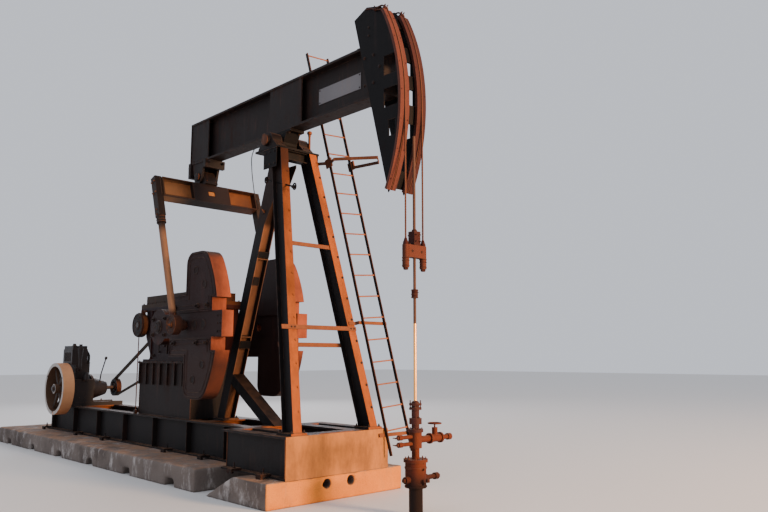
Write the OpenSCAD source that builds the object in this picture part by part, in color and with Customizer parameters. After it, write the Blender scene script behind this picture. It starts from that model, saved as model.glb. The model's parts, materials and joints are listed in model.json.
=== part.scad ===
// Beam pumping unit with its wellhead, engine and concrete footings.
// The centre bearing lies above the origin, +X points to the well, +Y is the ladder side.
// Z = 0 is the underside of the concrete. All sizes are in millimetres.

/* [Linkage] */
// Distance from the centre bearing to the polished rod
rod_reach = 2820; // [2700:5:2950]
// Distance from the centre bearing to the tail bearing
tail_reach = 2450; // [2350:5:2550]
// Height of the centre bearing axis
pivot_z = 5245; // [5200:5:5300]
// Drop of the tail bearing axis below the centre bearing axis
tail_drop = 105; // [90:1:120]
// Height of the crankshaft axis
crank_z = 2415; // [2400:5:2430]
// Radius of the wrist pins on the cranks
crank_throw = 920; // [900:5:940]
// Distance of the pitmans from the centre plane
pitman_y = 1000; // [1000:5:1040]
// Radius of the centre bearing shaft
pivot_r = 60; // [50:1:65]
// Radius of the tail bearing shaft
tail_r = 45; // [40:1:50]
// Radius of the crankshaft
crankshaft_r = 110; // [95:1:115]
// Radial clearance of every shaft in its bore
fit = 0.05; // [0.02:0.01:0.08]
// Gap between faces that move past each other
play = 10; // [8:1:14]
// Gap between curved faces that rest on each other
seat = 0.3; // [0.2:0.05:0.4]

/* [Concrete] */
// Height of the concrete above the ground
concrete_h = 330; // [300:5:360]
// Width of the concrete
concrete_w = 2400; // [2300:10:2600]
// Length of the front block along its top
front_block_top = 795; // [760:5:900]
// Distance that the sloping back of the front block runs out
front_block_slope = 690; // [640:5:740]
// Radius of the two round lifting holes
lift_hole_r = 62; // [40:1:80]
// Height of the lifting holes
lift_hole_z = 225; // [200:1:250]
// Places of the lifting holes across the block
lift_hole_y = 210; // [180:5:240]
// Depth of the lifting holes
lift_hole_depth = 420; // [200:10:500]
// Gap between the footing blocks behind
block_gap = 20; // [15:1:40]
// Back end of the last footing block
footing_back_x = -9300; // [-9400:10:-9200]

/* [Skid] */
// Front face of the skid
skid_front_x = 1390; // [1380:5:1420]
// Height of the skid beams
skid_h = 550; // [530:5:560]
// Back end of the wide front part of the skid
wide_back_x = -160; // [-200:5:-100]
// Half the width over the wide front part
wide_y = 910; // [890:5:930]
// Half the width over the long rails
rail_y = 520; // [500:5:530]
// Back end of the long rails
rail_back_x = -8200; // [-8300:10:-8100]
// Width of the skid beam flanges
skid_flange_w = 200; // [180:5:210]
// Thickness of the skid beam flanges
skid_flange_t = 28; // [20:1:32]
// Thickness of the skid beam webs
skid_web_t = 16; // [12:1:24]
// Thickness of the plate that closes the front of the skid
front_plate_t = 14; // [10:1:20]

/* [Samson post] */
// Height of the top plate of the post
post_top_z = 5100; // [5090:5:5105]
// Thickness of the plates at the head and feet of the post
post_plate_t = 30; // [20:1:40]
// Length of the top plate
top_plate_l = 600; // [580:10:620]
// Width of the top plate
top_plate_w = 800; // [796:2:830]
// Place of the front feet along the skid
front_foot_x = 1205; // [1190:5:1215]
// Distance of the front feet from the centre plane
front_foot_y = 680; // [660:5:700]
// Place of the front leg tops along the post
front_top_x = 215; // [205:5:225]
// Distance of the front leg tops from the centre plane
front_top_y = 272; // [265:1:276]
// Depth of the front legs
front_leg_d = 250; // [220:5:260]
// Width of the front leg flanges
front_leg_w = 140; // [130:5:150]
// Place of the rear foot along the skid
rear_foot_x = -1535; // [-1560:5:-1500]
// Place of the rear leg top along the post
rear_top_x = -145; // [-150:5:-130]
// Depth of the rear leg flanges
rear_leg_d = 200; // [180:5:220]
// Width of the rear leg across its flanges
rear_leg_w = 210; // [190:5:230]
// Thickness of the leg flanges and webs
leg_t = 14; // [10:1:18]

/* [Walking beam] */
// Height of the underside of the beam
beam_z = 5430; // [5420:5:5450]
// Depth of the beam
beam_h = 780; // [750:5:800]
// Width of the beam flanges
beam_w = 265; // [250:5:280]
// Thickness of the beam flanges
beam_flange_t = 34; // [26:1:40]
// Thickness of the beam web
beam_web_t = 18; // [14:1:24]
// Length of the beam behind the tail bearing
tail_overhang = 370; // [330:10:400]
// Distance from the head end of the beam to the polished rod
head_overhang = 425; // [420:5:460]
// Thickness of the end plates and of the box plates beside the web
box_plate_t = 14; // [10:1:20]
// Length of the sign plate
sign_l = 950; // [900:10:1000]
// Height of the sign plate
sign_h = 240; // [220:5:260]

/* [Horsehead] */
// Angle of the head above the level line
head_up = 28; // [26:0.5:29]
// Angle of the head below the level line
head_down = 25; // [23:0.5:26]
// Thickness of the two side plates
head_plate_t = 14; // [10:1:18]
// Width of each rope track
track_w = 165; // [150:1:170]
// Thickness of each rope track
track_t = 42; // [34:1:50]
// Radius of the bridle ropes
rope_r = 12.5; // [11:0.5:14]
// Distance of the bridle ropes from the centre plane
rope_y = 158; // [150:1:162]
// Width of the groove that holds a rope
groove_w = 30; // [28:1:34]

/* [Equalizer and pitmans] */
// Depth of the equalizer beam
equalizer_h = 360; // [340:5:380]
// Width of the equalizer flanges
equalizer_w = 220; // [200:5:240]
// Distance from the tail bearing axis to the top of the equalizer
equalizer_drop = 195; // [185:1:205]
// Thickness of the pitman blocks and the wrist bearings
pitman_t = 120; // [110:1:120]
// Width of the pitman blocks
pitman_w = 150; // [140:5:180]
// Radius of the pitman tubes
pitman_r = 57; // [50:1:62]
// Radius of the wrist bearing housings
wrist_r = 160; // [140:5:170]
// Radius of the wrist pins
wrist_pin_r = 62; // [50:1:70]

/* [Cranks and counterweights] */
// Thickness of the crank arms
crank_t = 200; // [180:5:210]
// Half the height of the crank arms
crank_half_h = 200; // [190:1:210]
// Distance from the crankshaft to the tip of the cranks
crank_tip = 2025; // [2000:5:2040]
// Radius of the crank hubs
crank_hub_r = 300; // [280:5:320]
// Radius of the front rim of the counterweights
weight_rim_r = 1945; // [1920:5:1955]
// Height of the counterweights over the crank line
weight_top = 1160; // [1120:5:1180]
// Thickness of the counterweights
weight_t = 250; // [230:5:250]

/* [Gear reducer] */
// Width of the reducer case
reducer_w = 840; // [800:10:860]
// Height of the reducer feet above the concrete underside
reducer_foot_z = 1830; // [1820:5:1850]
// Height of the joint face over the input shaft
joint_up = 315; // [300:5:330]
// Height of the cover over the joint face
cover_h = 215; // [200:5:240]
// Place of the input shaft
input_x = -3800; // [-3820:5:-3780]
// Height of the input shaft
input_z = 2500; // [2490:5:2510]
// Radius of the input shaft
input_r = 50; // [40:1:55]
// Radius of the brake drum
drum_r = 215; // [200:5:230]
// Radius of the large belt wheel
sheave_r = 490; // [460:5:510]

/* [Engine and belts] */
// Place of the engine shaft
engine_x = -7000; // [-7050:10:-6950]
// Height of the engine shaft
engine_z = 1245; // [1235:1:1260]
// Radius of the engine shaft
engine_shaft_r = 40; // [35:1:45]
// Radius of the flywheel
flywheel_r = 540; // [520:5:550]
// Width of the flywheel
flywheel_w = 230; // [200:5:240]
// Radius of the small belt wheel
engine_sheave_r = 190; // [180:5:210]
// Number of belts side by side
belt_n = 3; // [2:1:3]
// Width of one belt
belt_w = 24; // [20:1:26]
// Thickness of one belt
belt_t = 16; // [14:1:20]
// Distance of the belts from the centre plane
belt_y = 500; // [498:1:504]

/* [Ladder] */
// Distance between the ladder rails
ladder_w = 440; // [400:5:460]
// Spacing of the rungs
rung_pitch = 337; // [300:1:360]
// Radius of the rungs
rung_r = 11; // [9:0.5:14]
// Depth of the ladder rails
ladder_rail_d = 50; // [40:1:60]
// Thickness of the ladder rails
ladder_rail_t = 16; // [10:1:20]

/* [Well] */
// Radius of the polished rod
rod_r = 19; // [15:0.5:21]
// Height of the underside of the carrier bar
carrier_z = 3150; // [3140:5:3200]
// Height of the carrier bar
carrier_h = 160; // [140:5:170]
// Length of the carrier bar between its rope sockets
carrier_l = 290; // [270:5:300]
// Width of the carrier bar
carrier_w = 96; // [90:1:110]
// Radius of the casing head
casing_r = 130; // [110:5:140]
// Height of the top of the casing head
casing_top_z = 670; // [650:5:690]
// Height of the top of the stuffing box
stuffing_top_z = 1350; // [1330:5:1355]

/* [Hidden] */
$fn = 64;

// The linkage as it stands in this pose
tail_z = pivot_z - tail_drop;
crank_x = -tail_reach;
lean = atan2(crank_throw, tail_z - crank_z);
pitman_l = norm([crank_throw, tail_z - crank_z]);

// Levels
skid_z = concrete_h;
skid_top = skid_z + skid_h;
leg_z = skid_top + post_plate_t;
leg_top_z = post_top_z - post_plate_t;
reducer_joint_z = input_z + joint_up;
reducer_top_z = reducer_joint_z + cover_h;

// Footings
footing_n = 3;
block_set_back = 240;
footing_front_x = wide_back_x - block_set_back;
front_block_x = skid_front_x - 5;
pocket_w = 260;
pocket_h = 110;
pocket_depth = 220;

// Post
overrun = 250;
far_cut = 6000;
front_lean = atan2(front_top_x - front_foot_x, leg_top_z - leg_z);
rear_lean = atan2(rear_top_x - rear_foot_x, leg_top_z - leg_z);
foot_plate_l = 320;
foot_plate_w = 260;
upper_bar_z = 3500;
lower_bar_z = 2260;
back_bar_z = 2080;
bar_h = 62;
bar_t = 14;
bar_out = 120;
bar_lap = 40;
top_plate_x = 45;
cheek_t = 10;
cheek_z = 4770;
cheek_back_x = -20;
cheek_front_x = 320;
head_beam_x = 230;
head_beam_w = 140;
head_beam_h = 150;
head_beam_y = 197;
gusset_t = 12;
gusset_z = 3980;
gusset_tip = [150, 4860, 4905];
knee_z = 1550;
knee_foot_x = wide_back_x + 10;
knee_d = 160;

// Centre and tail bearings
beam_tail = tail_reach + tail_overhang;
beam_front = rod_reach - head_overhang;
block_y = 165;
block_t = 190;
block_r = 135;
block_l = 480;
block_base = 45;
cap_out = 45;
shaft_out = 15;
saddle_y = 130;
saddle_l = 600;
saddle_t = 40;
saddle_r = 118;
saddle_foot = 200;
box_plate_past = 240;
box_plates = [[-beam_tail, -tail_reach + box_plate_past], [-290, 540]];
hanger_l = 440;
hanger_w = 360;
hanger_t = 30;
lug_y = 130;
lug_t = 40;
lug_r = 130;
lug_foot = 200;
adjuster_t = 80;
adjuster_w = 400;
adjuster_h = [280, 150];

// Horsehead
head_plate_y = beam_w / 2;
track_r0 = rod_reach - track_t;
groove_r = rod_reach - rope_r - seat;
tie_t = 30;
tie_in = 15;
tie_angles = [[23.5, 27.5], [11.8, 16.4], [3.4, 7.4], [-6.4, -1.2], [-24.5, -19.5]];
head_corners = [[-330, -1205], [-1020, 1405], [-760, 1515], [-480, 1435]];
windows = [[-410, 415, 220, 270], [-410, -35, 260, 260], [-320, -445, 120, 220]];
sign_from_rod = 1970;
sign_up = 250;
sign_t = 8;

// Equalizer and pitmans
equalizer_y = pitman_y - pitman_t / 2;
equalizer_t = 22;
equalizer_web_t = 16;
end_plate_t = 20;
cover_y = 360;
cover_t = 12;
cover_window = [130, 90];
block_drop = 930;
collar_drop = 1056;
collar_r = 76;
boss_r = 90;
tail_block_y = lug_y - 5;
tail_block_r = 118;
tail_block_foot = 155;

// Cranks
crank_in = 580;
crank_y = crank_in + weight_t / 2;
crank_face = crank_y + crank_t / 2;
weight_face = crank_y + weight_t / 2;
step_u = 450;
dome_u = 945;
step_v = 505;
rim_v = 405;
lug_u = 1770;
back_round = 190;
front_round = 300;
pin_hole_r = wrist_pin_r + 6;

// Reducer
case_in = 100;
case_out = 550;
case_back_x = input_x + case_in;
case_front_x = crank_x + case_out;
case_waist_z = input_z - 220;
case_boss_r = 175;
case_flange_back = 190;
case_flange_front = 50;
case_foot_out = 40;
case_rib_t = 26;
case_rib_out = 22;
sump_in = 240;
foot_t = 40;
flange_t = 65;
flange_out = 24;
cap_r = 210;
cap_t = 36;
pedestal_back_x = case_back_x - 150;
pedestal_front_x = case_front_x - 50;
pedestal_w = 860;
pedestal_top_t = 30;
rib_z = 1420;
rib_n = 8;
rib_t = 30;
drum_y = 432;
drum_t = 124;
band_t = 12;
band_in = 24;
brake_rod_r = 9;
input_out = 8;

// Belts
belt_gap = 8;
belt_step = belt_w + belt_gap;
wheel_w = belt_n * belt_step + belt_gap;
big_belt_r = sheave_r - belt_t;
small_belt_r = engine_sheave_r - belt_t;

// Engine
sill_w = 130;
sill_h = 80;
sill_dx = 280;
engine_l = 700;
engine_y0 = -600;
engine_y1 = -140;
engine_base_h = 480;
engine_top = 1750;
head_w = 200;
radiator_l = 500;
radiator_w = 330;
radiator_top = 2150;
tank_h = 70;
fin_n = 9;
fin_t = 12;
flywheel_y = -850;
flywheel_rim = 70;
flywheel_hub_r = 100;
spoke_n = 6;
spoke_w = 70;
spoke_t = 50;
clutch_l = 380;
clutch_r = [275, 150];
air_x = engine_x - engine_l / 2 - 170;
air_y = engine_y0 + 120;
air_z = 1300;

// Ladder
ladder_foot = [1505, 864, 500];
ladder_head = [75, 330, 6850];
rung_first = 354;
rung_last = 35;
guard_h = 50;
guard_t = 12;
guard_end = 60;
hoop_z = 4920;
hoop = [[720, 400], [1260, 815], [1060, 1030]];
hoop_foot = [150, cheek_front_x + 15];
shoe_l = 140;
shoe_h = 90;
shoe_t = 24;
bracket_z = lower_bar_z + bar_h + guard_h;
ladder_lean = atan2(ladder_head.x - ladder_foot.x, ladder_head.z - ladder_foot.z);
foot_bracket_z = 765;

// Well
rod_foot_z = 40;
rod_top_drop = 495;
socket_r = 45;
socket_h = 290;
clamp_h = 180;
clamp_w = 110;
rod_collar_r = 42;
rod_collar_h = 110;
rod_collar_z = 2640;
casing_low_r = 85;
casing_low_z = 330;
casing_flange_r = 150;
casing_flange_t = 36;
band_out = 8;
tee_z = 895;
tee_r = 48;
tee_top_z = 990;
tee_arm = 240;
branch_r = 42;
bleeder_r = 24;
bleeder_l = 300;
outlet_z = 430;
outlet_r = 30;
outlet_l = 330;
plug_r = 42;
plug_l = 60;
valve_l = 220;
valve_r = 50;
valve_hub_r = 66;
valve_hub_t = 26;
bonnet_r = 36;
bonnet_h = 130;
stem_r = 10;
stem_h = 190;
hand_wheel_r = 80;

// Points of an arc from angle a0 to a1
function arc(center, r, a0, a1, n = 16) =
  [for (i = [0:n]) let (a = a0 + (a1 - a0) * i / n) center + r * [cos(a), sin(a)]];

// Point on the axis of a front leg at height z
function leg_at(s, z) =
  let (t = (z - leg_z) / (leg_top_z - leg_z))
  [front_foot_x + (front_top_x - front_foot_x) * t,
   s * (front_foot_y + (front_top_y - front_foot_y) * t), z];

// Point on a ladder rail at height z
function rail_at(z) =
  ladder_foot + (ladder_head - ladder_foot) * (z - ladder_foot.z) / (ladder_head.z - ladder_foot.z);

// Places something along the line from a to b
module along(a, b) {
  d = b - a;
  translate(a) rotate([0, atan2(d.x, d.z), 0]) rotate([-asin(d.y / norm(d)), 0, 0]) children();
}

// Extrudes a side view, drawn in X and Z, from y0 to y1
module side_on(y0, y1) {
  translate([0, y1, 0]) rotate([90, 0, 0]) linear_extrude(y1 - y0) children();
}

// A round bar along Y
module bar_y(x, z, r, y0, y1) {
  translate([x, y1, z]) rotate([90, 0, 0]) cylinder(r = r, h = y1 - y0);
}

// Shows the piece on both sides of the centre plane
module both_sides() {
  children();
  mirror([0, 1, 0]) children();
}

// An I section, its width along x and its depth along y
module i_section(depth, width, web, flange) {
  square([web, depth], center = true);
  for (s = [-1, 1]) translate([0, s * (depth - flange) / 2]) square([width, flange], center = true);
}

// An I beam along X whose underside is at z
module beam_x(x0, x1, y, z, depth, width, web, flange) {
  translate([x0, y, z + depth / 2]) rotate([90, 0, 90])
    linear_extrude(x1 - x0) i_section(depth, width, web, flange);
}

// An I beam along Y whose underside is at z
module beam_y(x, y0, y1, z, depth, width, web, flange) {
  translate([0, 0, z + depth / 2]) side_on(y0, y1) translate([x, 0]) i_section(depth, width, web, flange);
}

// A ring sector around the centre bearing axis
module arc_band(r0, r1, y0, y1, a0, a1) {
  translate([0, 0, pivot_z]) rotate([90, 0, 0]) rotate([0, 0, a0])
    rotate_extrude(angle = a1 - a0, $fn = 180) translate([r0, -y1]) square([r1 - r0, y1 - y0]);
}

// A sloping bar cut level at both ends
module sloping(a, b) {
  run = (b - a) / norm(b - a);
  intersection() {
    along(a - overrun * run, b) linear_extrude(norm(b - a) + 2 * overrun) children();
    translate([-far_cut, -far_cut, a.z]) cube([2 * far_cut, 2 * far_cut, b.z - a.z]);
  }
}

module front_footing() {
  color("darkgray") difference() {
    side_on(-concrete_w / 2, concrete_w / 2) polygon([
      [front_block_x, 0], [front_block_x, concrete_h],
      [front_block_x - front_block_top, concrete_h],
      [front_block_x - front_block_top - front_block_slope, 0]]);
    for (s = [-1, 1]) translate([front_block_x + 1, s * lift_hole_y, lift_hole_z])
      rotate([0, -90, 0]) cylinder(r = lift_hole_r, h = lift_hole_depth + 1);
  }
}

module rear_footings() {
  block_l = (footing_front_x - footing_back_x - (footing_n - 1) * block_gap) / footing_n;
  color("darkgray") for (i = [0:footing_n - 1])
    translate([footing_back_x + i * (block_l + block_gap), 0, 0])
    difference() {
      translate([0, -concrete_w / 2, 0]) cube([block_l, concrete_w, concrete_h]);
      for (t = [1 / 4, 3 / 4], s = [-1, 1]) translate([t * block_l, s * concrete_w / 2, 0])
        cube([pocket_w, 2 * pocket_depth, 2 * pocket_h], center = true);
    }
}

module skid_beam(x0, y) {
  beam_x(x0, skid_front_x - front_plate_t, y, skid_z, skid_h, skid_flange_w, skid_web_t, skid_flange_t);
}

module skid_side(s) {
  color("dimgray") skid_beam(wide_back_x, s * (wide_y - skid_flange_w / 2));
}

module skid_rails() {
  color("dimgray") both_sides() skid_beam(rail_back_x, rail_y - skid_flange_w / 2);
}

module skid_cross(x, y0, y1) {
  beam_y(x, y0, y1, skid_z, skid_h, skid_flange_w, skid_web_t, skid_flange_t);
}

module skid_cross_beams() {
  inner = rail_y - skid_flange_w;
  cross_in = 200;
  color("dimgray") {
    for (x = [rail_back_x + skid_flange_w / 2, engine_x - sill_dx, engine_x + sill_dx,
              pedestal_back_x + cross_in, crank_x - cross_in, rear_foot_x, knee_foot_x, front_foot_x])
      skid_cross(x, -inner, inner);
    both_sides() for (x = [wide_back_x + skid_flange_w / 2, front_foot_x])
      skid_cross(x, rail_y, wide_y - skid_flange_w);
  }
}

module skid_front_plate() {
  color("sienna") translate([skid_front_x - front_plate_t, -wide_y, skid_z])
    cube([front_plate_t, 2 * wide_y, skid_h]);
}

module foot_plate(x, y, l, w) {
  translate([x - l / 2, y - w / 2, skid_top]) cube([l, w, post_plate_t]);
}

module front_leg(s) {
  color("dimgray") {
    foot_plate(front_foot_x, s * front_foot_y, foot_plate_l, foot_plate_w);
    sloping(leg_at(s, leg_z), leg_at(s, leg_top_z))
      rotate(90) i_section(front_leg_d, front_leg_w, leg_t, leg_t);
  }
}

module rear_leg() {
  foot = [rear_foot_x, 0, leg_z];
  head = [rear_top_x, 0, leg_top_z];
  face = rear_leg_d / 2 / cos(rear_lean) - leg_t / 2;
  slope = tan(rear_lean);
  color("dimgray") {
    foot_plate(rear_foot_x, 0, foot_plate_l, rear_leg_w + 90);
    sloping(foot, head) i_section(rear_leg_w, rear_leg_d, leg_t, leg_t);
    for (z = [lower_bar_z, upper_bar_z])
      translate(foot + (head - foot) * (z - leg_z) / (leg_top_z - leg_z)) rotate([0, rear_lean, 0])
        cube([rear_leg_d, rear_leg_w - 2 * leg_t, leg_t], center = true);
    both_sides() side_on(rear_leg_w / 2 - gusset_t - 1, rear_leg_w / 2 - 1) polygon([
      [rear_foot_x + slope * (gusset_z - leg_z) + face, gusset_z], [gusset_tip[0], gusset_tip[1]],
      [gusset_tip[0], gusset_tip[2]],
      [rear_foot_x + slope * (gusset_tip[2] - leg_z) + face, gusset_tip[2]]]);
  }
}

// A flat bar across the legs at height z, its back face off mm in front of the leg axes
module leg_bar(z, off, y0, y1) {
  translate([leg_at(1, z).x, y0, z]) rotate([0, front_lean, 0])
    translate([off, 0, 0]) cube([bar_t, y1 - y0, bar_h]);
}

module leg_bars() {
  low = leg_at(1, lower_bar_z).y + front_leg_w / 2;
  high = leg_at(1, upper_bar_z).y - front_leg_w / 2 + bar_lap;
  back = leg_at(1, back_bar_z).y + front_leg_w / 2;
  color("chocolate") {
    leg_bar(lower_bar_z, front_leg_d / 2 + seat, -low - bar_out, low);
    leg_bar(upper_bar_z, front_leg_d / 2 - leg_t - bar_t - seat, -high, high);
    leg_bar(back_bar_z, -front_leg_d / 2 - bar_t - seat, -back, back);
  }
}

module knee_brace() {
  front = rear_leg_d / 2 / cos(rear_lean);
  slope = tan(rear_lean);
  top_x = rear_foot_x + slope * (knee_z - leg_z) + front;
  angle = atan2(knee_z - skid_top, top_x - knee_foot_x);
  color("dimgray") side_on(-rear_leg_w / 2, rear_leg_w / 2) intersection() {
    translate([knee_foot_x, skid_top]) rotate(angle)
      translate([-overrun, -knee_d / 2]) square([far_cut, knee_d]);
    polygon([[top_x - slope * (knee_z - skid_top), skid_top], [far_cut, skid_top], [far_cut, leg_top_z],
             [top_x + slope * (leg_top_z - knee_z), leg_top_z]]);
  }
}

module post_top() {
  color("dimgray") {
    translate([top_plate_x - top_plate_l / 2, -top_plate_w / 2, leg_top_z])
      cube([top_plate_l, top_plate_w, post_plate_t]);
    both_sides() translate([cheek_back_x, top_plate_w / 2 - cheek_t, cheek_z])
      cube([cheek_front_x - cheek_back_x, cheek_t, leg_top_z - cheek_z]);
    beam_y(head_beam_x, -head_beam_y, head_beam_y, leg_top_z - head_beam_h, head_beam_h, head_beam_w,
           leg_t, leg_t);
  }
}

module center_bearings() {
  outer = block_y + block_t;
  color("dimgray") both_sides() difference() {
    union() {
      side_on(block_y, outer) {
        polygon([[-block_l / 2, post_top_z], [block_l / 2, post_top_z],
                 [block_l / 2, post_top_z + block_base],
                 [block_r, pivot_z], [-block_r, pivot_z], [-block_l / 2, post_top_z + block_base]]);
        translate([0, pivot_z]) circle(r = block_r);
      }
      bar_y(0, pivot_z, block_r - block_base, block_y, outer + cap_out);
    }
    bar_y(0, pivot_z, pivot_r + fit, block_y - 1, outer + shaft_out + play);
  }
}

module flat_bar(a, b, h, t) {
  d = b - a;
  translate([a.x, a.y, 0]) rotate(atan2(d.y, d.x)) translate([-t / 2, -t / 2, 0]) cube([norm(d) + t, t, h]);
}

module flat_path(points, h, t) {
  for (i = [0:len(points) - 2]) flat_bar(points[i], points[i + 1], h, t);
}

// Shows something in the frame of the ladder, at height z on its near rail
module on_ladder(z) {
  along(ladder_foot, ladder_head) translate([0, 0, norm(rail_at(z) - ladder_foot)]) children();
}

module ladder() {
  rail_l = norm(ladder_head - ladder_foot);
  color("saddlebrown") along(ladder_foot, ladder_head) {
    for (y = [0, ladder_w])
      translate([-ladder_rail_d / 2, y - ladder_rail_t / 2, 0])
        cube([ladder_rail_d, ladder_rail_t, rail_l]);
    for (z = concat([for (z = [rung_first:rung_pitch:rail_l - rung_pitch]) z], [rail_l - rung_last]))
      translate([0, 0, z]) rotate([-90, 0, 0]) cylinder(r = rung_r, h = ladder_w);
  }
}

// Bracket from the front face of the far leg to a bar behind the two ladder rails
module ladder_leg_bracket() {
  leg = leg_at(1, bracket_z);
  rail = rail_at(bracket_z);
  turn = ladder_lean - front_lean;
  face = front_leg_d / 2 + seat + guard_t / 2;
  behind = ladder_rail_d / 2 + seat + guard_t / 2 + guard_h / 2 * tan(abs(turn));
  reach = (rail.x - leg.x) * cos(ladder_lean) / cos(turn) - behind;
  translate([leg.x, 0, bracket_z]) rotate([0, front_lean, 0]) translate([0, 0, -guard_h / 2])
    flat_path([[face, leg.y - front_leg_w / 4], [face, leg.y + front_leg_w / 2 + guard_t],
               [reach, rail.y - guard_end], [reach, rail.y + ladder_w + guard_end]], guard_h, guard_t);
}

// Bracket from the front plate of the skid to the backs of the ladder rails
module ladder_foot_bracket() {
  rail = rail_at(foot_bracket_z);
  difference() {
    translate([skid_front_x + seat, rail.y - 2 * guard_end, foot_bracket_z])
      cube([rail.x - skid_front_x, ladder_w + 3 * guard_end, guard_h]);
    along(ladder_foot, ladder_head) translate([-ladder_rail_d / 2 - seat, -far_cut, -far_cut])
      cube(2 * far_cut);
  }
}

// Hoop round the climber, carried by the rails and the head of the post
module ladder_hoop() {
  rail = rail_at(hoop_z);
  out = ladder_rail_t / 2 + seat + shoe_t / 2;
  cheek = top_plate_w / 2 + seat + guard_t / 2;
  shoe_in = shoe_l / 2 - guard_t;
  for (y = [-out, ladder_w + out]) on_ladder(hoop_z)
    translate([-shoe_l / 2, y - shoe_t / 2, -guard_h]) cube([shoe_l, shoe_t, shoe_h + guard_h]);
  translate([0, 0, hoop_z]) {
    flat_path([[hoop_foot[0], cheek], [hoop_foot[1], cheek], [rail.x - shoe_in, rail.y - out]],
              guard_h, guard_t);
    flat_path(concat([[rail.x + shoe_in, rail.y - out]], hoop,
                     [[rail.x + shoe_in, rail.y + ladder_w + out]]), guard_h, guard_t);
  }
}

module ladder_brackets() {
  color("chocolate") {
    ladder_leg_bracket();
    ladder_foot_bracket();
    ladder_hoop();
  }
}

module reducer_pedestal() {
  l = pedestal_front_x - pedestal_back_x;
  top_z = reducer_foot_z - pedestal_top_t;
  color("dimgray") {
    translate([pedestal_back_x, -pedestal_w / 2, skid_top])
        cube([l, pedestal_w, reducer_foot_z - skid_top]);
    translate([pedestal_back_x - flange_out, -pedestal_w / 2 - 2 * flange_out, top_z])
      cube([l + 2 * flange_out, pedestal_w + 4 * flange_out, pedestal_top_t]);
    for (i = [0:rib_n - 1], s = [-1, 1])
      translate([pedestal_back_x + rib_t / 2 + i * (l - rib_t) / (rib_n - 1), s * pedestal_w / 2,
                 (rib_z + top_z) / 2])
        cube([rib_t, 3 * flange_out, top_z - rib_z], center = true);
  }
}

module reducer_case() {
  sump_z = reducer_foot_z + foot_t;
  half = reducer_w / 2;
  l = case_front_x - case_back_x;
  color("dimgray") difference() {
    union() {
      side_on(-half, half) {
        polygon([
          [case_back_x + sump_in, sump_z - 1], [case_front_x - sump_in, sump_z - 1],
          [case_front_x, case_waist_z], [case_front_x, reducer_joint_z],
          [case_back_x, reducer_joint_z], [case_back_x, case_waist_z]]);
        translate([input_x, input_z]) circle(r = case_boss_r);
      }
      translate([case_back_x - case_foot_out, -half - flange_out, reducer_foot_z])
        cube([l + 2 * case_foot_out, reducer_w + 2 * flange_out, foot_t]);
      translate([case_back_x - case_flange_back, -half - flange_out, reducer_joint_z - flange_t])
        cube([l + case_flange_back + case_flange_front, reducer_w + 2 * flange_out, flange_t]);
      bar_y(crank_x, crank_z, cap_r, -half - cap_t, half + cap_t);
      for (x = [case_back_x + sump_in, case_front_x - sump_in])
        translate([x - case_rib_t / 2, -half - case_rib_out, sump_z - 1])
          cube([case_rib_t, reducer_w + 2 * case_rib_out, reducer_joint_z - sump_z]);
    }
    bar_y(crank_x, crank_z, crankshaft_r + fit, -reducer_w, reducer_w);
    bar_y(input_x, input_z, input_r + fit, -reducer_w, reducer_w);
  }
}

module reducer_cover() {
  half = reducer_w / 2;
  l = case_front_x - case_back_x;
  hatch_l = 420;
  hatch_t = 24;
  color("dimgray") {
    translate([case_back_x - case_flange_back, -half - flange_out, reducer_joint_z])
      cube([l + case_flange_back + case_flange_front, reducer_w + 2 * flange_out, flange_t]);
    translate([case_back_x - 2 * case_foot_out, -half + flange_out, reducer_joint_z])
      cube([l, reducer_w - 2 * flange_out, cover_h]);
    translate([case_back_x + hatch_l / 2, -hatch_l / 2, reducer_top_z]) cube([hatch_l, hatch_l, hatch_t]);
  }
}

module input_shaft() {
  far = belt_y + wheel_w / 2 + input_out;
  color("gray") bar_y(input_x, input_z, input_r, -drum_y - drum_t - input_out, far);
}

module brake_drum() {
  color("dimgray") difference() {
    union() {
      bar_y(input_x, input_z, 2 * input_r, -drum_y - drum_t, -drum_y);
      bar_y(input_x, input_z, drum_r, -drum_y - drum_t, -drum_y);
    }
    bar_y(input_x, input_z, input_r + fit, -drum_y - drum_t - 1, -drum_y + 1);
  }
}

module brake_band() {
  y0 = -drum_y - drum_t + band_in;
  y1 = -drum_y - band_in;
  rod_x = input_x - drum_r * 0.2;
  color("dimgray") {
    difference() {
      bar_y(input_x, input_z, drum_r + seat + band_t, y0, y1);
      bar_y(input_x, input_z, drum_r + seat, y0 - 1, y1 + 1);
    }
    translate([rod_x, (y0 + y1) / 2, skid_top])
      cylinder(r = brake_rod_r, h = input_z - drum_r - seat - band_t / 2 - skid_top + 4);
  }
}

// A belt wheel of radius r whose grooves hold the belts
module belt_wheel(r, bore, x, z) {
  rim = 60;
  hub = bore + 50;
  half = wheel_w / 2;
  translate([x, belt_y, z]) rotate([90, 0, 0]) rotate_extrude($fn = 96) difference() {
    polygon([[bore, -half], [hub, -half], [hub, -20], [r - rim, -20], [r - rim, -half], [r, -half],
             [r, half], [r - rim, half], [r - rim, 20], [hub, 20], [hub, half], [bore, half]]);
    for (i = [0:belt_n - 1])
      translate([r - belt_t - seat, (i - (belt_n - 1) / 2) * belt_step - belt_w / 2 - seat])
        square([belt_t + 1, belt_w + 2 * seat]);
  }
}

module reducer_sheave() {
  color("dimgray") belt_wheel(sheave_r, input_r + fit, input_x, input_z);
}

module engine_sheave() {
  color("dimgray") belt_wheel(engine_sheave_r, engine_shaft_r + fit, engine_x, engine_z);
}

// Outline of a belt that runs round both wheels at radii r1 and r2
function belt_outline(r1, r2) =
  let (p = [input_x, input_z], q = [engine_x, engine_z], d = q - p,
       dir = atan2(d.y, d.x), open = acos((r1 - r2) / norm(d)))
  concat(arc(p, r1, dir + open, dir + 360 - open, 48), arc(q, r2, dir - open, dir + open, 24));

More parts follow.
